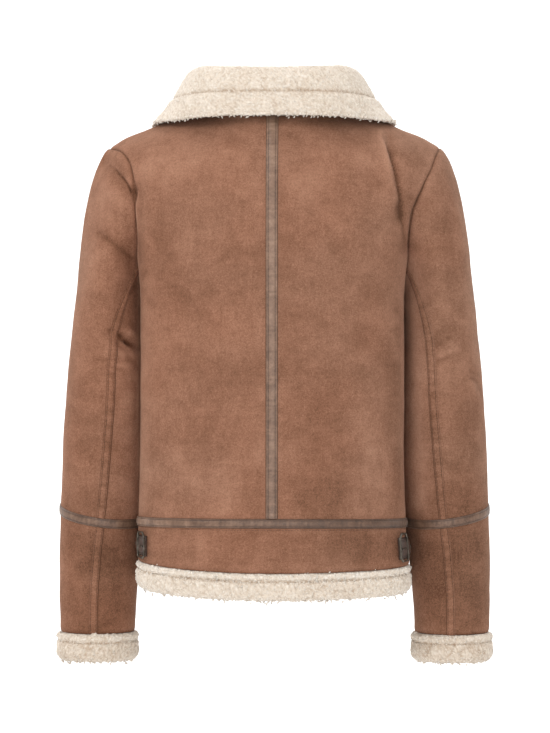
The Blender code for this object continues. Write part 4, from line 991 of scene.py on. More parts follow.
def metal_finish():
    made = Finish("shaded_antique_metal", 0.34, 1.0)
    place = made.place()
    rub = made.sum((made.cloud(place, 160.0, 5.0, 0.65), 0.75),
                   (made.cloud(place, 1200.0, 3.0), 0.25))
    # the ramp is kept dark as painted shade, for the buckles that sit in shade between sleeve and
    # body
    made.colour(rub, ((0.3, (0.05, 0.042, 0.034)), (0.55, (0.15, 0.13, 0.105)),
                      (0.8, (0.42, 0.38, 0.33))))
    made.vary_gloss(made.cloud(place, 300.0, 4.0), 0.4, 0.16)
    made.bump(made.cloud(place, 800.0, 3.0), 0.0002, 0.4)
    return made.material


def tape_finish():
    made = Finish("woven_tape", 0.85, Sheen_Weight=0.2)
    place = made.place(uv=True)
    ribs = made.wave(place, 420.0, 0.3, 1.0, "Y")
    warp = made.wave(place, 520.0, 0.2, 1.0)
    tone = made.sum((ribs, 0.4), (warp, 0.3), (made.cloud(place, 200.0, 3.0), 0.3))
    made.colour(tone, ((0.2, (0.045, 0.026, 0.018)), (0.8, (0.125, 0.080, 0.058))))
    made.bump(ribs, 0.0005, 0.7)
    made.bump(warp, 0.0003, 0.5)
    return made.material


MATERIALS = {}
MAKERS = {"suede": suede_finish, "leather": leather_finish, "dark_leather": dark_shaded_leather_finish,
          "pile": pile_finish, "lining": lining_finish, "thread": thread_finish,
          "metal": metal_finish, "tape": tape_finish}


def finish(name):
    if name not in MATERIALS:
        MATERIALS[name] = MAKERS[name]()
    return MATERIALS[name]


# ---------------------------------------------------------------- making pieces

def new_piece(name, mesh, node=None):
    """A piece of the jacket, in the place of a node of the solids where one is named."""
    piece = bpy.data.objects.new(name, mesh)
    bpy.context.scene.collection.objects.link(piece)
    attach(piece, "jacket")
    if node:
        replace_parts(piece, node)
    return piece


def baked(work, name):
    """The mesh that was being worked on, finished."""
    mesh = bpy.data.meshes.new(name)
    work.to_mesh(mesh)
    work.free()
    return mesh


def add_values(mesh, values):
    """Named values at each vertex, for the materials to read."""
    for name, numbers in values:
        layer = mesh.attributes.new(name, "FLOAT", "POINT")
        layer.data.foreach_set("value", np.asarray(numbers, np.float32))


def grid_mesh(name, outer, inner, finishes, closed=False, shade=None, inner_shade=None, sharp=50):
    """A wall of cloth between two grids of points. Its UV map is in metres along and across."""
    rows, columns = outer.shape[:2]
    count = columns + closed
    work = bmesh.new()
    place, behind = (work.verts.layers.int.new(layer) for layer in ("place", "behind"))
    bmesh.ops.create_grid(work, x_segments=count - 1, y_segments=rows - 1, size=1.0)
    down = np.linalg.norm(np.diff(outer, axis=0), axis=-1).mean(axis=1)
    across = np.linalg.norm(np.diff(outer, axis=1), axis=-1).mean(axis=0)
    if closed:
        last = np.linalg.norm(outer[:, 0] - outer[:, -1], axis=-1).mean()
        across = np.append(across, last)
    u_at, v_at = running(across) * MM, running(down) * MM
    map_layer = work.loops.layers.uv.new("cloth")
    for index, vertex in enumerate(work.verts):
        row, along_row = divmod(index, count)
        vertex[place] = row * columns + along_row % columns
        for loop in vertex.link_loops:
            loop[map_layer].uv = (u_at[along_row], v_at[row])
    front, back = outer.reshape(-1, 3) * MM, inner.reshape(-1, 3) * MM
    for vertex in work.verts:
        vertex.co = front[vertex[place]]
    if closed:
        bmesh.ops.remove_doubles(work, verts=work.verts[:], dist=SAME_PLACE)
    grown = bmesh.ops.extrude_face_region(work, geom=work.faces[:], use_keep_orig=True)
    for item in grown["geom"]:
        if isinstance(item, bmesh.types.BMVert):
            item.co = back[item[place]]
            item[behind] = 1
        elif isinstance(item, bmesh.types.BMFace):
            item.material_index = len(finishes) - 1
    bmesh.ops.recalc_face_normals(work, faces=work.faces[:])
    none = np.zeros(front.shape[0])
    shown, hidden = (none if part is None else part.reshape(-1) for part in (shade, inner_shade))
    shades = [(hidden if v[behind] else shown)[v[place]] for v in work.verts]
    mesh = baked(work, name)
    for layer in ("place", "behind"):
        mesh.attributes.remove(mesh.attributes[layer])
    add_values(mesh, [("tip" if finishes[0] == "pile" else "shade", shades)])
    for one in finishes:
        mesh.materials.append(finish(one))
    mesh.shade_smooth()
    mesh.set_sharp_from_angle(angle=math.radians(sharp))
    return mesh


LEAST_CUT = 0.0105        # metres, the narrowest width that a cut is given
LEAST_FILLED = 0.3        # the least share of its flat box that a cut fills


def declare_cloth(piece, grid):
    """The greatest width and length, and the whole area of the flat cloth, worked out and not kept.
    """
    down = np.diff(grid, axis=0)
    across = np.diff(grid, axis=1)
    length = float(np.linalg.norm(down, axis=-1).sum(axis=0).max()) * MM
    width = float(np.linalg.norm(across, axis=-1).sum(axis=1).max()) * MM
    cells = np.cross(down[:, :-1], across[:-1]) / 2 + np.cross(down[:, 1:], across[1:]) / 2
    area = float(np.linalg.norm(cells, axis=-1).sum()) * MM * MM
    width = max(width, LEAST_CUT)
    area = min(max(area, LEAST_FILLED * width * length), width * length)


def make_shell(name, sheet, node):
    """A panel of suede bonded to pile."""
    grid, normals, shade = sheet
    outer, inner = draw_back(grid), draw_back(grid - normals * WALL)
    mesh = grid_mesh(name, outer, inner, ("suede", "lining"), False, shade)
    declare_cloth(new_piece(name, mesh, node), outer)


def finer(grid, step, axis):
    """A grid resampled so its points are about a step apart along one axis."""
    run = np.moveaxis(grid, axis, 0)
    lengths = np.linalg.norm(np.diff(run[..., :3], axis=0), axis=-1)
    so_far = running(lengths.reshape(len(lengths), -1).mean(axis=1))
    count = max(2, int(round(so_far[-1] / step)) + 1)
    wanted = np.linspace(0.0, so_far[-1], count)
    index = np.clip(np.searchsorted(so_far, wanted, side="right") - 1, 0, len(so_far) - 2)
    part = (wanted - so_far[index]) / np.maximum(so_far[index + 1] - so_far[index], 1e-9)
    part = part.reshape((-1,) + (1,) * (run.ndim - 1))
    return np.moveaxis(run[index] * (1 - part) + run[index + 1] * part, 0, axis)


def fine_sheet(grid, normals, steps):
    """Points and unit normals resampled down and across together."""
    both = np.concatenate([grid, unit(normals)], axis=-1)
    both = finer(finer(both, steps[0], 0), steps[1], 1)
    return both[..., :3], unit(both[..., 3:])


STITCH_LINE = 0.62        # how far out from a strip's middle its stitches run
STITCH_PITCH = 3.4
STRIP_STEPS = (1.1, 1.0)  # spacing of a strip's points along it and across it
EDGE_TURN = 0.82          # how far out a strip's edge starts to turn down
EDGE_WIDTH = 0.18
EDGE_DARK = 0.86          # and how far out it is darker, as painted shade
CROWN_FALL = 0.35         # share of the crown that is gone at the edge
LEAST_EDGE = 0.15
LEAST_HEIGHT = 0.12
DENT_DEPTH, DENT_WIDTH = 0.28, 0.09                 # the groove that its stitches lie in
RIB_LENGTH, SWELL_LENGTH, CALM_LENGTH = 3.1, 9.0, 26.0   # mm along a strip, of its wrinkles
# how much the wrinkles and the stitch groove are painted in shade
RIB_SHADE, DENT_SHADE = 0.34, 1.5


def strip_profile(across, crown):
    """Height across a strip: crowned in its middle, turned down at its edges."""
    height = crown * (1.0 - CROWN_FALL * across**2)
    turned = height * np.clip((1.0 - across) / EDGE_WIDTH, 0.0, 1.0)**0.5
    return np.maximum(np.where(across > EDGE_TURN, turned, height), LEAST_EDGE)


def strip_ribs(lengths, seed):
    """How an uneven row of small wrinkles rises and falls along a strip."""
    found = []
    for at in lengths:
        calm = 0.35 + 0.9 * abs(noise.noise(Vector((at / CALM_LENGTH, seed, 9.0))))
        found.append(noise.noise(Vector((at / RIB_LENGTH + seed, seed, 0.0))) * calm
                     + noise.noise(Vector((at / SWELL_LENGTH, seed + 4.0, 0.0))) * 0.55)
    return np.array(found)


def make_strip(name, grid, normals, node, thickness, slot, across_axis, crinkle, closed=False,
               seed=0.0, stitch_line=STITCH_LINE, tone=0.0, rightward=0.0, upward=0.0,
               lip=(0.45, 0.45)):
    """A strip that lies on the cloth: crowned, wrinkled across, with a stitch line by each edge,
    and painted shade on its wrinkles, groove and edges.
    """
    steps = STRIP_STEPS if across_axis == 1 else STRIP_STEPS[::-1]
    grid, facing = fine_sheet(grid, normals, steps)
    if closed:
        grid, facing = grid[:, :-1], facing[:, :-1]
    count = grid.shape[across_axis]
    across = np.abs(np.linspace(-1.0, 1.0, count))
    profile = strip_profile(across, thickness)
    dent = -DENT_DEPTH * thickness * np.exp(-((across - stitch_line) / DENT_WIDTH)**2)
    ribs = strip_ribs(along(np.moveaxis(grid, across_axis, 0)[count // 2]), seed)
    rib_shape = np.clip(1.15 - across**2, 0.0, 1.0)
    # painted shade: darker on the wrinkles' low parts, in the stitch groove and at the edges
    dark_edge = np.where(np.arange(count) < count / 2, *lip) * (across > EDGE_DARK)
    height = profile[:, None] + dent[:, None] + crinkle * ribs[None, :] * rib_shape[:, None]
    shade = (RIB_SHADE * ribs[None, :] * rib_shape[:, None]
             + DENT_SHADE * dent[:, None] / thickness - dark_edge[:, None])
    if across_axis == 1:
        height, shade = height.T, shade.T
    height = np.maximum(height, LEAST_HEIGHT)
    outer = grid + facing * (LAY + height)[..., None]
    inner = grid + facing * (LAY * 0.6)
    # darker to the right and paler upward: painted shade, as the light falls from the upper left
    shade = shade * 0.8 + 0.08 + tone + rightward * outer[..., 0] / 150.0
    shade = shade + upward * (outer[..., 2] / 250.0 + 1.2)
    mesh = grid_mesh(name, outer, inner, (slot, slot), closed, shade, sharp=60)
    declare_cloth(new_piece(name, mesh, node), outer)
    return outer, facing


def many(name, unit_mesh, places, axes, look, values=()):
    """Copies of one small mesh in millimetres, as one piece: a place and three axes for each."""
    copies = len(places)
    work = bmesh.new()
    work.from_mesh(unit_mesh)
    made = 1
    while made < copies:
        half = bpy.data.meshes.new("half")
        work.to_mesh(half)
        work.from_mesh(half)
        bpy.data.meshes.remove(half)
        made *= 2
    work.verts.ensure_lookup_table()
    each = len(unit_mesh.vertices)
    bmesh.ops.delete(work, geom=work.verts[each * copies:], context="VERTS")
    mesh = baked(work, name)
    shape = np.array([vertex.co[:] for vertex in unit_mesh.vertices])
    points = places[:, None, :] + np.einsum("vk,nkc->nvc", shape, axes)
    mesh.vertices.foreach_set("co", points.reshape(-1).astype(np.float32))
    add_values(mesh, values)
    mesh.update()
    mesh.shade_smooth()
    mesh.materials.append(finish(look))
    return new_piece(name, mesh)


def tube(name, rings, shares):
    """A mesh run through rings of points and closed at its ends, with each ring's share along."""
    sides = len(rings[0])
    work = bmesh.new()
    layer = work.verts.layers.float.new("along")
    ring = bmesh.ops.create_circle(work, segments=sides, radius=1.0, cap_ends=False)["verts"]
    edges = work.edges[:]
    order = sorted(ring, key=lambda v: math.atan2(v.co.y, v.co.x))
    for step, (points, share) in enumerate(zip(rings, shares)):
        if step:
            grown = bmesh.ops.extrude_edge_only(work, edges=edges)["geom"]
            new = {v.co.copy().freeze(): v for v in grown if isinstance(v, bmesh.types.BMVert)}
            order = [new[v.co.copy().freeze()] for v in order]
            edges = [e for e in grown if isinstance(e, bmesh.types.BMEdge)
                     and e.verts[0] in order and e.verts[1] in order]
        for vertex, point in zip(order, points):
            vertex.co = point
            vertex[layer] = share
    bmesh.ops.holes_fill(work, edges=work.edges[:], sides=sides)
    bmesh.ops.recalc_face_normals(work, faces=work.faces[:])
    return baked(work, name)


def ring_round(centre, upright, sideways, size, sides):
    turns = [2 * math.pi * k / sides for k in range(sides)]
    return [centre + size * (math.cos(turn) * upright + math.sin(turn) * sideways)
            for turn in turns]


def lock_mesh(sides, steps, length, bend, radii, rise):
    """One small curl, in millimetres: a bent, tapered tuft that rises and turns over."""
    sideways = Vector((0.0, 1.0, 0.0))
    reach = length / math.radians(bend)
    shares = [step / steps for step in range(steps + 1)]
    rings = []
    for share in shares:
        angle = math.radians(bend) * share
        centre = Vector((reach * (1 - math.cos(angle)), 0.9 * math.sin(4.0 * share),
                         rise * reach * math.sin(angle)))
        heading = Vector((math.sin(angle), 0.0, rise * math.cos(angle))).normalized()
        size = radii[0] + (radii[1] - radii[0]) * share + radii[2] * math.sin(math.pi * share)
        rings.append(ring_round(centre, heading.cross(sideways), sideways, size, sides))
    return tube("lock", rings, shares)


def curl_frames(points, facing, lean, size, flow=None):
    """Axes for curls: standing on the cloth, leaning and turned at random, sizes in metres."""
    count = len(points)
    about = DICE.uniform(0, 2 * math.pi, count)
    helper = np.where(np.abs(facing[:, 2:3]) > 0.9, (1.0, 0, 0), (0, 0, 1.0))
    u = unit(np.cross(helper, facing))
    w = np.cross(facing, u)
    out_x = np.cos(about)[:, None] * u + np.sin(about)[:, None] * w
    if flow is not None:
        out_x = unit(out_x + flow)
    tilt = DICE.uniform(*lean, count)[:, None]
    up = unit(facing * np.cos(tilt) + out_x * np.sin(tilt))
    across = unit(np.cross(up, out_x))
    out_x = np.cross(across, up)
    scale = DICE.uniform(*size, count)[:, None, None] * MM
    wide = DICE.uniform(0.85, 1.2, count)[:, None]
    return np.stack([out_x, across * wide, up], axis=1) * scale


def scattered(grid, facing, spacing):
    """Places on a grid about a spacing apart, shaken so that no rows show: the points, the way
    each faces, and its share of the way down the grid."""
    both = np.concatenate([grid, facing], axis=-1)
    both = finer(finer(both, spacing, 0), spacing, 1)
    rows, columns = both.shape[:2]
    shake = DICE.uniform(-0.48, 0.48, (rows, columns, 2))
    down = np.gradient(both[..., :3], axis=0)
    across = np.gradient(both[..., :3], axis=1)
    stagger = 0.5 * (np.arange(rows) % 2)[:, None, None]
    points = both[..., :3] + down * shake[..., :1] + across * (shake[..., 1:] + stagger)
    return (points.reshape(-1, 3), unit(both[..., 3:].reshape(-1, 3)),
            np.repeat(np.linspace(0, 1, rows), columns))


def pile_lumps(grid, size, seed):
    """0 in the pits between curls to 1 on them."""
    nearest = [noise.voronoi(Vector(point))[0] for point in grid.reshape(-1, 3) / size + seed]
    lump = np.array([second - first for first, second, *_ in nearest]) * 1.5
    return np.clip(lump, 0.0, 1.0).reshape(grid.shape[:2])


def grow_curls(name, mesh, points, facing, frames, root):
    """Curls on the pile, with painted shade from root to tip and their own tone as values."""
    share = np.array([item.value for item in mesh.attributes["along"].data])
    tone = np.repeat(DICE.uniform(0, 1, len(points)), len(share))
    values = (("tip", np.tile(root + TIP_RISE * share, len(points))), ("tone", tone))
    return many(name, mesh, (points - facing * ROOT_DEPTH) * MM, frames, "pile", values)


TIP_RISE = 0.42           # how much paler a curl's tip is than its root, as painted shade at the root
ROOT_DEPTH = 0.9          # how far into the ground a curl's root reaches


# ---------------------------------------------------------------- stitches

def stitch_mesh():
    """One stitch, in millimetres: a plump thread lying along X, its ends turned down."""
    work = bmesh.new()
    bmesh.ops.create_cone(work, cap_ends=True, segments=6, radius1=0.45, radius2=0.45, depth=1.0)
    bmesh.ops.rotate(work, cent=(0, 0, 0), verts=work.verts[:],
                     matrix=Matrix.Rotation(math.pi / 2, 3, "Y"))
    ends = [e for e in work.edges if abs(e.verts[0].co.x - e.verts[1].co.x) < 0.1]
    bmesh.ops.bevel(work, geom=ends, offset=0.22, segments=1, profile=0.5, affect="EDGES",
                    material=-1)
    return baked(work, "stitch")


def stitch_run(points, facing, pitch):
    """Places and axes for stitches along a line on the cloth."""
    so_far = along(points)
    count = max(1, int(so_far[-1] / pitch))
    at = (np.arange(count) + 0.5) * so_far[-1] / count
    heading = unit(sampled(at + 0.4, so_far, points) - sampled(at - 0.4, so_far, points))
    side = unit(np.cross(unit(sampled(at, so_far, facing)), heading))
    return sampled(at, so_far, points), heading, side, np.cross(heading, side)


def make_stitches(name, runs, length, thick):
    """Stitches along several lines, as one piece."""
    parts = [stitch_run(points, facing, pitch) for points, facing, pitch in runs]
    places, heading, side, up = (np.concatenate([part[k] for part in parts]) for k in range(4))
    axes = np.stack([heading * length, side * thick, up * thick], axis=1) * MM
    many(name, stitch_mesh(), places * MM, axes, "thread")


# ---------------------------------------------------------------- the jacket

def make_panels(sheets):
    for hand in ("left", "right"):
        for part in ("back", "front"):
            make_shell(f"suede_{part}_{hand}", sheets[f"{part}_panel_{hand}"], f"{part}_{hand}")
        make_shell(f"suede_waistband_{hand}", sheets[f"front_band_{hand}"], f"waistband_{hand}")
        for kind in ("sleeve", "forearm"):
            for part in ("top", "under"):
                node = f"{kind}_{part}_{hand}"
                make_shell(f"suede_{node}", sheets[node], node)
    make_shell("suede_waistband_back", joined(sheets["back_band_left"], sheets["back_band_right"]),
               "waistband_back")


LAP_STITCHES = (0.60, 3.6)         # how far out on a lap its stitches run, and their spacing
LAP_LIPS = {"left": (0.5, 2.0), "right": (0.0, 2.0)}   # painted shade: how dark a lap's outer and inner edge, in the crevice beside it


def make_strips(sheets):
    """The leather strips, the lapped sleeve seams, and the stitches on and beside them."""
    back = joined(sheets["back_panel_left"], sheets["back_panel_right"])
    bands = joined(sheets["back_band_left"], sheets["back_band_right"])
    middle = sheets["back_panel_left"][0].shape[1] - 1
    spine = slice(middle - 3, middle + 4)
    runs = []

    def lay(name, strip, node, thickness, slot, across_axis, *numbers, **looks):
        points, facing = make_strip(name, *strip, node, thickness, slot, across_axis, *numbers,
                                    **looks)
        lines = LAP_STITCHES if slot == "suede" else ()
        runs.extend(edge_stitches(points, facing, across_axis, *lines))

    lay("leather_back_strip", above_waist(back, spine), "back_strip", LEATHER + 0.3, "leather", 1,
        0.26, seed=1.0, tone=0.03, upward=0.09, lip=(0.7, 0.7))
    lay("leather_waist_back", level_strip(back, bands), "waist_strip_back", LEATHER + 0.4,
        "leather", 0, 0.36, seed=7.0, tone=-0.16, rightward=-0.14)
    runs.append((*beside(bands, 1.4), 3.6))
    for side, hand in ((-1, "left"), (1, "right")):
        panel, band = sheets[f"front_panel_{hand}"], sheets[f"front_band_{hand}"]
        lay(f"leather_waist_{hand}", level_strip(panel, band), f"waist_strip_{hand}",
            LEATHER + 0.4, "leather", 0, 0.36, seed=11.0 + side, tone=-0.16, rightward=-0.14)
        ring = [sleeve_hoop(sheets, "sleeve", hand, -2), sleeve_hoop(sheets, "forearm", hand, 0),
                sleeve_hoop(sheets, "forearm", hand, 1)]
        loop = [np.array([part[k] for part in ring]) for k in (0, 1)]
        loop = [np.concatenate([part, part[:, :1]], axis=1) for part in loop]
        lay(f"leather_sleeve_strip_{hand}", loop, f"sleeve_strip_{hand}", LEATHER - 0.2,
            "leather", 0, 0.36, closed=True, seed=21.0 + side, tone=-0.14)
        for kind, rows in (("sleeve", slice(0, -1)), ("forearm", slice(1, None))):
            top, under = sheets[f"{kind}_top_{hand}"], sheets[f"{kind}_under_{hand}"]
            lap = [np.stack([top[k][rows, 1], top[k][rows, 0], under[k][rows, 1]], axis=1)
                   for k in (0, 1)]
            lay(f"suede_{kind}_seam_{hand}", lap, f"{kind}_seam_{hand}", LAPPED + 0.2, "suede", 1,
                0.16, seed=31.0 + side, tone=-0.16, lip=LAP_LIPS[hand])
    make_stitches("strip_stitches", runs, 2.0, 0.45)


def above_waist(sheet, columns):
    """A panel's points and normals from the waist strip's upper edge up."""
    both = np.concatenate([sheet[0], sheet[1]], axis=-1)[:, columns]
    run = along(both[:, 0, :3])
    first = int(np.searchsorted(run, WAIST_STRIP_HALF + 0.3))
    share = (WAIST_STRIP_HALF + 0.3 - run[first - 1]) / (run[first] - run[first - 1])
    start = both[first - 1] * (1 - share) + both[first] * share
    both = np.concatenate([start[None], both[first:]])
    return both[..., :3], both[..., 3:]


def level_strip(panel, band):
    """The rows that the waist strip covers: above and below the waist seam."""
    run = np.concatenate([panel[0][6:0:-1], band[0][:7]])
    facing = np.concatenate([panel[1][6:0:-1], band[1][:7]])
    rows, normals = [], []
    for offset in (-WAIST_STRIP_HALF, 0.0, WAIST_STRIP_HALF):
        lengths = [along(run[:, k]) for k in range(run.shape[1])]
        rows.append([sampled(so_far[6] + offset, so_far, run[:, k])
                     for k, so_far in enumerate(lengths)])
        normals.append([sampled(so_far[6] + offset, so_far, facing[:, k])
                        for k, so_far in enumerate(lengths)])
    return np.array(rows), np.array(normals)


def beside(sheet, below):
    """A line on the cloth a little below the waist strip."""
    grid, normals = sheet[0], unit(sheet[1])
    away = WAIST_STRIP_HALF + below
    down = np.linalg.norm(np.diff(grid, axis=0), axis=-1).cumsum(axis=0).mean(axis=1)
    share = np.interp(away, np.concatenate([[0.0], down]), np.arange(len(grid)))
    row, part = int(share), share - int(share)
    line = grid[row] * (1 - part) + grid[row + 1] * part
    return line + normals[row] * 0.15, normals[row]


def edge_stitches(points, facing, across_axis, at=STITCH_LINE, pitch=STITCH_PITCH):
    """Two stitch lines along a strip, by each edge."""
    points, facing = np.moveaxis(points, across_axis, 0), np.moveaxis(facing, across_axis, 0)
    last = len(points) - 1
    picks = [int(round(last * (0.5 + s * at / 2))) for s in (-1, 1)]
    return [(points[k] + facing[k] * 0.12, facing[k], pitch) for k in picks]


BAND_POINTS = 22          # down each face of a band
CURL_ROOM = 1.2           # how far the ground lies inside the solid, to leave room for curls
LINING_ROOM = 0.8
GROUND_RISE = 1.4
GROUND_DROP = 0.3
LUMP_TIP = 0.42           # how much paler the ground's lumps are than its pits, as painted shade in the pits
LUMP_SIZE = 3.7
BACK_LUMP_SIZE = 3.9
RIM_PALER = 0.10          # how much paler the band is above its seam
BAND_SEAM = {"hem": 9.5, "cuff": 10.5}   # how far down a band's seam runs
BAND_SEAM_HALF = 1.2
BAND_SEAM_DEPTH = 0.9


def band_sections(table):
    """A band's section at finer steps."""
    knots = np.arange(len(table), dtype=float)
    at = np.linspace(0.0, knots[-1], BAND_POINTS)
    return tuple(smooth_through(knots, column(table, BAND_COLUMNS, name), at)
                 for name in BAND_COLUMNS)


def make_band(name, node, points, normals, table, closed, seed, tone):
    """A band of pile: its lumpy ground with a sunk seam, and where that seam runs."""
    if closed:
        points = np.concatenate([points, points[:1]])
        normals = np.concatenate([normals, normals[:1]])
    both = finer(np.concatenate([points, unit(normals * (1.0, 1.0, 0.0))], axis=-1), PILE_STEP, 0)
    points, outward = both[:, :3], unit(both[:, 3:])
    out, down, in_out, in_down = (part[:, None, None] for part in band_sections(table))
    below = np.array((0.0, 0.0, -1.0))
    outer = points + outward * (out - CURL_ROOM) + below * down
    inner = points + outward * (in_out + LINING_ROOM) + below * in_down
    if closed:
        outer, inner = outer[:, :-1], inner[:, :-1]
    facing = sheet_normals(outer, inner)
    lump = pile_lumps(outer, LUMP_SIZE, seed)
    inner_lump = pile_lumps(inner, BACK_LUMP_SIZE, seed + 5)
    seam_at = BAND_SEAM[node.split("_")[0]]
    sunk = np.exp(-((down - seam_at) / BAND_SEAM_HALF)**2)
    ground = outer + facing * ((GROUND_RISE * lump[..., None] - GROUND_DROP) * (1 - sunk)
                               - BAND_SEAM_DEPTH * sunk)
    behind = inner - facing * (1.1 * inner_lump[..., None] - 0.2)
    # painted shade darkens the pits between lumps and the sunk seam; the band is also paler above
    # its seam
    rim = RIM_PALER * (down[..., 0] < seam_at)
    shade = (tone + rim + LUMP_TIP * lump) * (1 - 0.5 * sunk[..., 0])
    mesh = grid_mesh(name, ground, behind, ("pile", "pile"), closed, shade,
                     tone + LUMP_TIP * inner_lump, sharp=180)
    new_piece(name, mesh, node)
    return outer, inner, facing, int(sunk[:, 0, 0].argmax())


def make_bands(sheets, lock, hair):
    around = (("front_band_left", False), ("back_band_left", True), ("back_band_right", False),
              ("front_band_right", True))
    points, normals = hoop(sheets, around, -1)
    made = make_band("hem_pile", "hem", points, normals, HEM_BAND, False, 1.0, 0.36)
    curls_on("hem_curls", made, lock, hair, 3.05, -0.35, 5.0, False, 0.5)
    for side, hand in ((-1, "left"), (1, "right")):
        points, normals = sleeve_hoop(sheets, "forearm", hand, -1)
        made = make_band(f"cuff_pile_{hand}", f"cuff_{hand}", points, normals, CUFF_BAND, True,
                         3.0 + side, 0.24)
        curls_on(f"cuff_curls_{hand}", made, lock, hair, 3.1, -0.9, 5.5, True, 0.34)


TUFT_X = -214.0           # where pile spills over the left cuff's top
TUFT_HALF = 9.0
TUFT_MORE = 0.75          # how much taller it grows there
SEAM_CLEAR = 0.42         # how many rows of its ground a band's seam keeps free of curls


def curls_on(name, band, lock, hair, spacing, flow, ragged, closed, root):
    """Curls all over a band but its seam, and hairs over its two rims."""
    *grids, seam = band
    if closed:
        grids = [np.concatenate([grid, grid[:, :1]], axis=1) for grid in grids]
    outer, inner, facing = grids
    points, normal, row = scattered(outer, facing, spacing)
    clear = abs(row * (len(outer) - 1) - seam) > SEAM_CLEAR
    behind, back_normal, _ = scattered(inner, -facing, spacing * 1.9)
    points = np.concatenate([points[clear], behind])
    normal = np.concatenate([normal[clear], back_normal])
    frames = curl_frames(points, normal, (0.15, 0.75), (0.75, 1.1), np.array((0.0, 0.0, flow)))
    grow_curls(name, lock, points, normal, frames, root)
    rim = np.stack([outer[-1], outer[-2], inner[-1]])
    rim_normal = unit(facing[[-1, -1, -1]] + np.array((0.0, 0.0, -1.2)))
    rim_points, rim_facing, _ = scattered(rim, rim_normal, 2.2)
    top = np.stack([outer[0], outer[1]])
    top_normal = unit(facing[[0, 0]] + np.array((0.0, 0.0, 0.8)))
    top_points, top_facing, _ = scattered(top, top_normal, 2.0)
    tuft = np.array([0.95 + 0.75 * noise.noise(Vector(point / 9.0 + ragged))
                     for point in top_points])
    spill = TUFT_MORE * np.exp(-((top_points[:, 0] - TUFT_X) / TUFT_HALF)**2)
    tuft += spill * (top_points[:, 1] < 0) * closed
    rim_frames = curl_frames(rim_points, rim_facing, (0.3, 1.0), (0.55, 0.85))
    top_frames = curl_frames(top_points, top_facing, (0.1, 0.9), (0.7, 1.1)) * tuft[:, None, None]
    grow_curls(name + "_edge", hair, np.concatenate([rim_points, top_points]),
               np.concatenate([rim_facing, top_facing]), np.concatenate([rim_frames, top_frames]),
               root)


# ---------------------------------------------------------------- the collar

STAND_POINTS = 20
FALL_POINTS = 37
GROOVE_POINT = 23         # where on the fall its stitched groove runs
GROOVE_DEPTH = 2.3
GROOVE_REACH = 1.9
# how far the groove's painted shade reaches
GROOVE_DARK = 1.7
GROOVE_CLEAR = 1.2        # how near the groove a curl may grow
COLLAR_THINS = 8.0        # how far from its free edge the collar starts to thin
COLLAR_PUFF, COLLAR_PUFF_AWAY, COLLAR_PUFF_REACH = 0.9, 9.0, 6.0   # below the groove
COLLAR_ROOM, COLLAR_BACK_ROOM = 1.0, 0.6    # left for curls on its two faces


def collar_curve(rim_out, rim_in, side, station):
    """One section of the collar: its visible face and its hidden one, from the neck seam over the
    fold to the free edge."""
    values = read(COLLAR, COLLAR_COLUMNS, "station", COLLAR_COLUMNS[1:], [station])[0]
    mirror = np.array((side, 1.0, 1.0))
    base = (rim_out + rim_in) / 2
    fold, edge = values[0:3] * mirror, values[3:6] * mirror
    outward = unit((edge - base) * (1.0, 1.0, 0.0))
    upward = np.array((0.0, 0.0, 1.0))
    stand = (base, base + (fold - base) * (0, 0, COLLAR_STAND_PULL),
             fold - outward * COLLAR_FOLD_REACH, fold)
    fall = (fold, fold + outward * COLLAR_FOLD_REACH,
            edge - outward * values[6] + upward * values[7], edge)
    middle = np.concatenate([bezier(stand, np.linspace(0.0, 0.96, STAND_POINTS)[:, None]),
                             bezier(fall, np.linspace(0.0, 1.0, FALL_POINTS)[:, None])])
    tangents = unit(np.gradient(middle, axis=0))
    across = np.cross(outward, upward)
    normals = unit(np.cross(across, tangents))
    if np.dot(normals[0], outward) > 0:
        normals = -normals
    so_far = along(middle)
    to_edge = so_far[-1] - so_far
    half = COLLAR_WALL / 2 * np.clip(0.50 + 0.5 * to_edge / COLLAR_THINS, 0.0, 1.0)
    past = so_far - so_far[STAND_POINTS + GROOVE_POINT]
    dent = GROOVE_DEPTH * np.exp(-(past / GROOVE_REACH)**2)
    puff = COLLAR_PUFF * np.exp(-((past - COLLAR_PUFF_AWAY) / COLLAR_PUFF_REACH)**2)
    visible = middle + normals * (half - COLLAR_ROOM - dent + puff)[:, None]
    hidden = middle - normals * (half - COLLAR_BACK_ROOM)[:, None]
    visible[0], hidden[0] = rim_in, rim_out
    # the last value is the painted shade along the groove
    return visible, hidden, np.exp(-(past / GROOVE_DARK)**2)


def neck_stations(sheets):
    """The body's neck edge from the left front to the right front: outer and inner points, side,
    station, and the way the cloth runs up to it."""
    found = []
    for hand, side in (("left", -1), ("right", 1)):
        run = []
        for part, first in (("back", len(CENTRE_STEPS)), ("front", 1)):
            grid, normals, _ = sheets[f"{part}_panel_{hand}"]
            behind = grid - normals * WALL
            if part == "back":
                length = along(grid[-1, :first + len(NECK_SHARES)])
                stations = length / length[-1]
            else:
                stations = 2.0 - np.concatenate([[0.0] * first, NECK_SHARES[:-1]])
            for k, station in enumerate(stations):
                climb = unit(grid[-1, k] - grid[-3, k])
                run.append((station, side, grid[-1, k], behind[-1, k], climb))
        run.sort(key=lambda item: item[0])
        found.append(run)
    left, right = found
    return left[:0:-1] + right


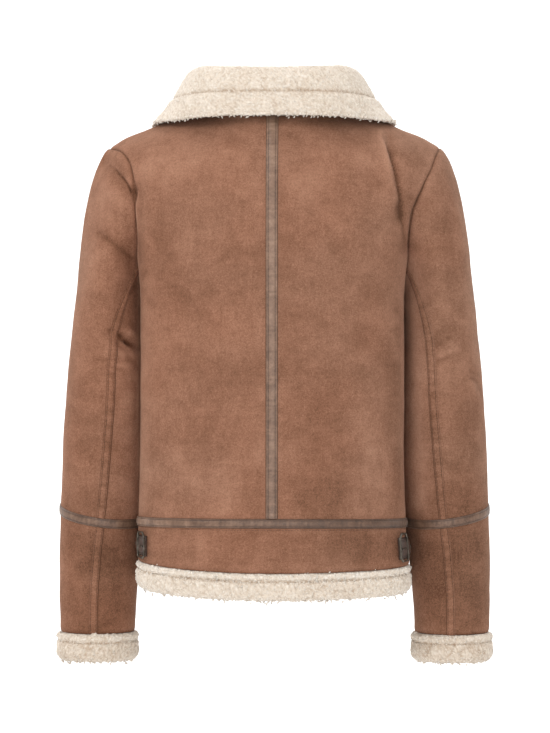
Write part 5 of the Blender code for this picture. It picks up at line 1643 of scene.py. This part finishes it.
def make_collar(sheets, lock, hair):
    visible, hidden, groove = [], [], []
    for station, side, rim_out, rim_in, climb in neck_stations(sheets):
        lift = climb * COLLAR_LIFT
        face, back, dent = collar_curve(rim_out + lift, rim_in + lift, side, station)
        visible.append(face)
        hidden.append(back)
        groove.append(dent)
    whole = np.concatenate([visible, hidden, np.array(groove)[..., None]], axis=-1)
    whole = finer(finer(whole, PILE_STEP, 0), PILE_STEP, 1)
    visible, hidden, groove = whole[..., :3], whole[..., 3:6], whole[..., 6]
    facing = sheet_normals(visible, hidden)
    lump = pile_lumps(visible, 3.6, 2.0)
    back_lump = pile_lumps(hidden, BACK_LUMP_SIZE, 6.0)
    rise = (GROUND_RISE * lump - GROUND_DROP) * (1 - 0.8 * groove)
    ground = visible + facing * rise[..., None]
    behind = hidden - facing * (1.0 * back_lump[..., None] - 0.3)
    # painted shade: darker in the pits between lumps and along the groove
    mesh = grid_mesh("collar_pile", ground, behind, ("pile", "pile"), False,
                     (0.38 + LUMP_TIP * lump) * (1 - 0.5 * groove),
                     0.36 + LUMP_TIP * back_lump, sharp=180)
    collar = new_piece("collar_pile", mesh, "collar")
    points, normal, _ = scattered(visible, facing, 3.05)
    clear = away_from_groove(points, visible, groove)
    for hand, half in (("left", points[:, 0] < 0), ("right", points[:, 0] >= 0)):
        places, ways = points[clear & half], normal[clear & half]
        frames = curl_frames(places, ways, (0.2, 0.85), (0.7, 1.0))
        grow_curls(f"collar_curls_{hand}", lock, places, ways, frames, 0.5)
    rim = np.stack([visible[:, -1], hidden[:, -1], hidden[:, -3]])
    rim_normal = unit(np.stack([facing[:, -1], facing[:, -1] * 0.1, -facing[:, -1]])
                      + np.array((0.0, 0.0, -0.9)))
    points, normal, _ = scattered(rim, rim_normal, 2.1)
    frames = curl_frames(points, normal, (0.3, 1.1), (0.6, 0.95))
    grow_curls("collar_curls_edge", hair, points, normal, frames, 0.42)
    declare_cloth(collar, visible)


def away_from_groove(points, visible, groove):
    """Which points lie clear of the collar's groove."""
    nearest = np.full(len(points), FAR)
    for spot in visible[np.arange(len(visible)), groove.argmax(axis=1)]:
        nearest = np.minimum(nearest, np.linalg.norm(points - spot, axis=1))
    return nearest > GROOVE_CLEAR


# ---------------------------------------------------------------- zip, straps and buckles

STRAP_SHARES = (0.34, 0.60)       # where the side straps start on the back and end on the front
STRAP_LEVELS = (-0.24, -0.80)


def make_zip():
    levels = np.linspace(-1.62, 1.985, 150)
    points, facing = zip_line(levels)
    face = points - facing * TAPE_SET_BACK
    for side, hand in ((-1, "left"), (1, "right")):
        across = side * np.linspace(TAPE_MIDDLE, TAPE_EDGE, 6)
        outer = np.stack([face + np.array((x, 0, 0)) for x in across], axis=1)
        inner = outer - facing[:, None] * TAPE_THICKNESS
        mesh = grid_mesh(f"woven_tape_{hand}", outer, inner, ("tape", "tape"))
        piece = new_piece(f"woven_tape_{hand}", mesh, f"zip_tape_{hand}")
        declare_cloth(piece, outer)
    levels = np.linspace(-1.60, CHAIN_TOP_LEVEL, 400)
    points, facing = zip_line(levels)
    so_far = along(points)
    at = np.arange(1.0, so_far[-1] - 1.0, TOOTH_PITCH)
    out = unit(sampled(at, so_far, facing))
    places = sampled(at, so_far, points) + out * (LAY - TAPE_SET_BACK + CHAIN_THICKNESS / 2)
    hands = np.where(np.arange(len(at)) % 2, 1.0, -1.0)
    right = np.stack([hands, np.zeros(len(at)), np.zeros(len(at))], axis=-1)
    climb = unit(np.cross(out, right))
    axes = np.stack([right, out, climb], axis=1) * MM
    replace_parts(many("zip_teeth", tooth_mesh(), places * MM, axes, "metal"), "zip_chain")
    for node in ("zip_slider", "zip_pull", "side_buckle_left", "side_buckle_right"):
        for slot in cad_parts[node].material_slots:
            slot.material = finish("metal")


def tooth_mesh():
    """One zip tooth, in millimetres, reaching over the middle from the side it is sewn to."""
    work = bmesh.new()
    made = bmesh.ops.create_cube(work, size=1.0)["verts"]
    bmesh.ops.scale(work, vec=(3.1, 2.0, 1.0), verts=made)
    bmesh.ops.translate(work, vec=(1.0, 0.0, 0.0), verts=made)
    bmesh.ops.bevel(work, geom=work.edges[:], offset=0.22, segments=1, profile=0.5,
                    affect="EDGES", material=-1)
    return baked(work, "tooth")


def side_cloth(side, face, levels, shares):
    """Points and normals of the waistband near the side seam."""
    grid = torso(side, face, levels, (0.0,), (1.0,), shares)[:, 2:]
    normals = sheet_normals(grid, grid * (0.0, 0.0, 1.0))
    height = creases_of(CREASES, grid, normals) + creases_of(WRINKLES, grid, normals)
    return grid + height[..., None] * normals, normals


def make_side_straps():
    """The leather adjusters, dark partly by painted shade, with holes, stitches and the buckle's
    prong.
    """
    runs, holes = [], []
    for side, hand in ((-1, "left"), (1, "right")):
        levels = np.linspace(*STRAP_LEVELS, 12)
        back, back_normal = side_cloth(side, -1, levels, np.linspace(STRAP_SHARES[0], 1.0, 26))
        front, front_normal = side_cloth(side, 1, levels, np.linspace(STRAP_SHARES[1], 1.0, 14))
        grid = np.concatenate([back, front[:, -2::-1]], axis=1)
        normals = np.concatenate([back_normal, front_normal[:, -2::-1]], axis=1)
        middle = back.shape[1] - 1
        normals[:, middle] = unit(normals[:, middle - 1] + normals[:, middle + 1])
        points, facing = make_strip(f"adjuster_strap_{hand}", grid, normals, f"side_strap_{hand}",
                                    STRAP, "dark_leather", 0, 0.14, seed=41.0 + side,
                                    stitch_line=0.72)
        runs += edge_stitches(points, facing, 0, 0.72, 3.2)
        run, ways = points[len(points) // 2], facing[len(points) // 2]
        for share in np.linspace(0.30, 0.92, 4):
            k = int(share * (len(run) - 1))
            holes.append((run[k], ways[k], unit(run[k + 1] - run[k - 1])))
        prong(hand, run, ways)
    make_stitches("strap_stitches", runs, 2.1, 0.55)
    eyelets(holes)


PRONG_LENGTH = 14.0
PRONG_LIFT = (1.8, 1.5, 1.1, 0.9, 0.8, 0.8, 0.9, 1.2, 1.7)   # above the strap, along the prong
PRONG_RADIUS = 0.95
PRONG_SIDES = 8


def prong(hand, run, facing):
    """The buckle's prong, from the frame's back bar over the middle of the strap."""
    low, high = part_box(f"side_buckle_{hand}")
    near = int(np.argmin(np.abs(run[:, 1] - (low[1] + high[1]) / 2 / MM)))
    half = max(4, int(PRONG_LENGTH / np.linalg.norm(run[near + 1] - run[near]))) // 2
    picks = np.linspace(near - half, near + half, len(PRONG_LIFT)).astype(int)
    picks = np.clip(picks, 0, len(run) - 1)
    path = (run[picks] + facing[picks] * np.array(PRONG_LIFT)[:, None]) * MM
    last = len(path) - 1
    rings = []
    for step, place in enumerate(path):
        ahead = path[min(step + 1, last)] - path[max(step - 1, 0)]
        up = facing[picks[step]]
        size = PRONG_RADIUS * MM * (1.0 if step < last else 0.6)
        rings.append(ring_round(place, up, unit(np.cross(ahead, up)), size, PRONG_SIDES))
    mesh = tube(f"buckle_prong_{hand}", rings, np.linspace(0.0, 1.0, len(path)))
    mesh.shade_smooth()
    mesh.materials.append(finish("metal"))
    new_piece(mesh.name, mesh)


def eyelets(spots):
    """Small metal rings round the strap's holes."""
    work = bmesh.new()
    profile = bmesh.ops.create_circle(work, segments=6, radius=0.55)["verts"]
    bmesh.ops.translate(work, vec=(1.7, 0.0, 0.0), verts=profile)
    bmesh.ops.rotate(work, cent=(0, 0, 0), verts=work.verts[:],
                     matrix=Matrix.Rotation(math.pi / 2, 3, "X"))
    bmesh.ops.spin(work, geom=work.verts[:] + work.edges[:], cent=(0, 0, 0), axis=(0, 0, 1),
                   angle=2 * math.pi, steps=14, use_merge=True)
    bmesh.ops.remove_doubles(work, verts=work.verts[:], dist=1e-4)
    bmesh.ops.recalc_face_normals(work, faces=work.faces[:])
    places = np.array([place + up * 0.1 for place, up, _ in spots]) * MM
    axes = np.array([[run, np.cross(up, run), up] for _, up, run in spots]) * MM
    many("strap_eyelets", baked(work, "ring"), places, axes, "metal")


# ---------------------------------------------------------------- floor, light and camera

FLOOR_Z = -1.08           # metres, as all of the stage is
FLOOR_START = -5.0
FLOOR_LENGTH = 9.5
BEND_LENGTH = 1.6
SWEEP_LENGTH = 15.0
SWEEP_HALF = 6.0


def make_stage():
    """A pale floor that curves up behind, in one sheet."""
    work = bmesh.new()
    bmesh.ops.create_grid(work, x_segments=2, y_segments=60, size=1.0)
    radius = BEND_LENGTH / (math.pi / 2)
    for vertex in work.verts:
        run = (vertex.co.y + 1.0) / 2 * SWEEP_LENGTH
        bend = min(max((run - FLOOR_LENGTH) / BEND_LENGTH, 0.0), 1.0) * math.pi / 2
        climb = radius * (1 - math.cos(bend)) + max(run - FLOOR_LENGTH - BEND_LENGTH, 0.0)
        depth = min(run, FLOOR_LENGTH) + radius * math.sin(bend)
        vertex.co = Vector((vertex.co.x * SWEEP_HALF, FLOOR_START + depth, FLOOR_Z + climb))
    bmesh.ops.recalc_face_normals(work, faces=work.faces[:])
    mesh = baked(work, "studio_sweep")
    mesh.shade_smooth()
    sweep = bpy.data.objects.new("studio_sweep", mesh)
    bpy.context.scene.collection.objects.link(sweep)
    pale = Finish("pale_paper", 0.9, Specular_IOR_Level=0.1, Base_Color=(0.93, 0.93, 0.93, 1.0))
    sweep.data.materials.append(pale.material)


# Each lamp's x, y, z, size, watts, and the y that it is aimed at
LIGHTS = (
    (-1.5, -2.4, 1.7, 1.5, 43.0, -0.03),
    (1.7, -2.4, 1.1, 1.6, 15.0, -0.03),
    (-1.9, 0.7, 0.5, 1.2, 16.0, -0.03),
    (1.9, 0.7, 0.5, 1.2, 11.0, -0.03),
    (0.0, 0.3, 2.0, 1.4, 22.0, -0.03),
    (0.1, -3.3, -0.25, 1.0, 22.0, -0.03),
    (0.0, 3.2, 2.9, 2.4, 150.0, 5.2),
)
AIM_Z = -0.33
SKY_STRENGTH = 0.62


def make_lights():
    """Soft boxes round the jacket, in an even pale surround."""
    for number, (x, y, z, size, watts, aim_y) in enumerate(LIGHTS):
        light = bpy.data.lights.new(f"soft_box_{number}", "AREA")
        light.size = size
        light.energy = watts
        lamp = bpy.data.objects.new(light.name, light)
        lamp.location = (x, y, z)
        aim = Vector((0.0, aim_y, AIM_Z)) - Vector((x, y, z))
        lamp.rotation_euler = aim.to_track_quat("-Z", "Y").to_euler()
        bpy.context.scene.collection.objects.link(lamp)
    world = bpy.data.worlds.new("studio")
    world.use_nodes = True
    sky = world.node_tree.nodes["Background"].inputs
    sky["Color"].default_value = (1.0, 1.0, 1.0, 1.0)
    sky["Strength"].default_value = SKY_STRENGTH
    bpy.context.scene.world = world
    bpy.context.scene.view_settings.view_transform = "Standard"


CAMERA_TURN = 1.3         # degrees round from square on to the back
CAMERA_REACH = 3.0        # metres
CAMERA_LENS = 117.9
CAMERA_X = 0.001
CAMERA_Z = -0.3306


def make_camera():
    """The photo's view: near square on to the back, level with the jacket's middle."""
    camera = bpy.data.cameras.new("camera")
    camera.lens = CAMERA_LENS
    view = bpy.data.objects.new("camera", camera)
    turn = math.radians(CAMERA_TURN)
    view.location = (CAMERA_X + CAMERA_REACH * math.sin(turn), -CAMERA_REACH * math.cos(turn),
                     CAMERA_Z)
    view.rotation_euler = (math.pi / 2, 0.0, turn)
    bpy.context.scene.collection.objects.link(view)
    bpy.context.scene.camera = view


def main():
    sheets = make_sheets()
    make_panels(sheets)
    make_strips(sheets)
    lock = lock_mesh(3, 4, 6.0, 205, (1.05, 0.7, 0.35), 0.62)
    hair = lock_mesh(4, 3, 4.6, 195, (1.3, 1.1, 0.45), 0.6)
    make_bands(sheets, lock, hair)
    make_collar(sheets, lock, hair)
    make_zip()
    make_side_straps()
    make_stage()
    make_lights()
    make_camera()


main()
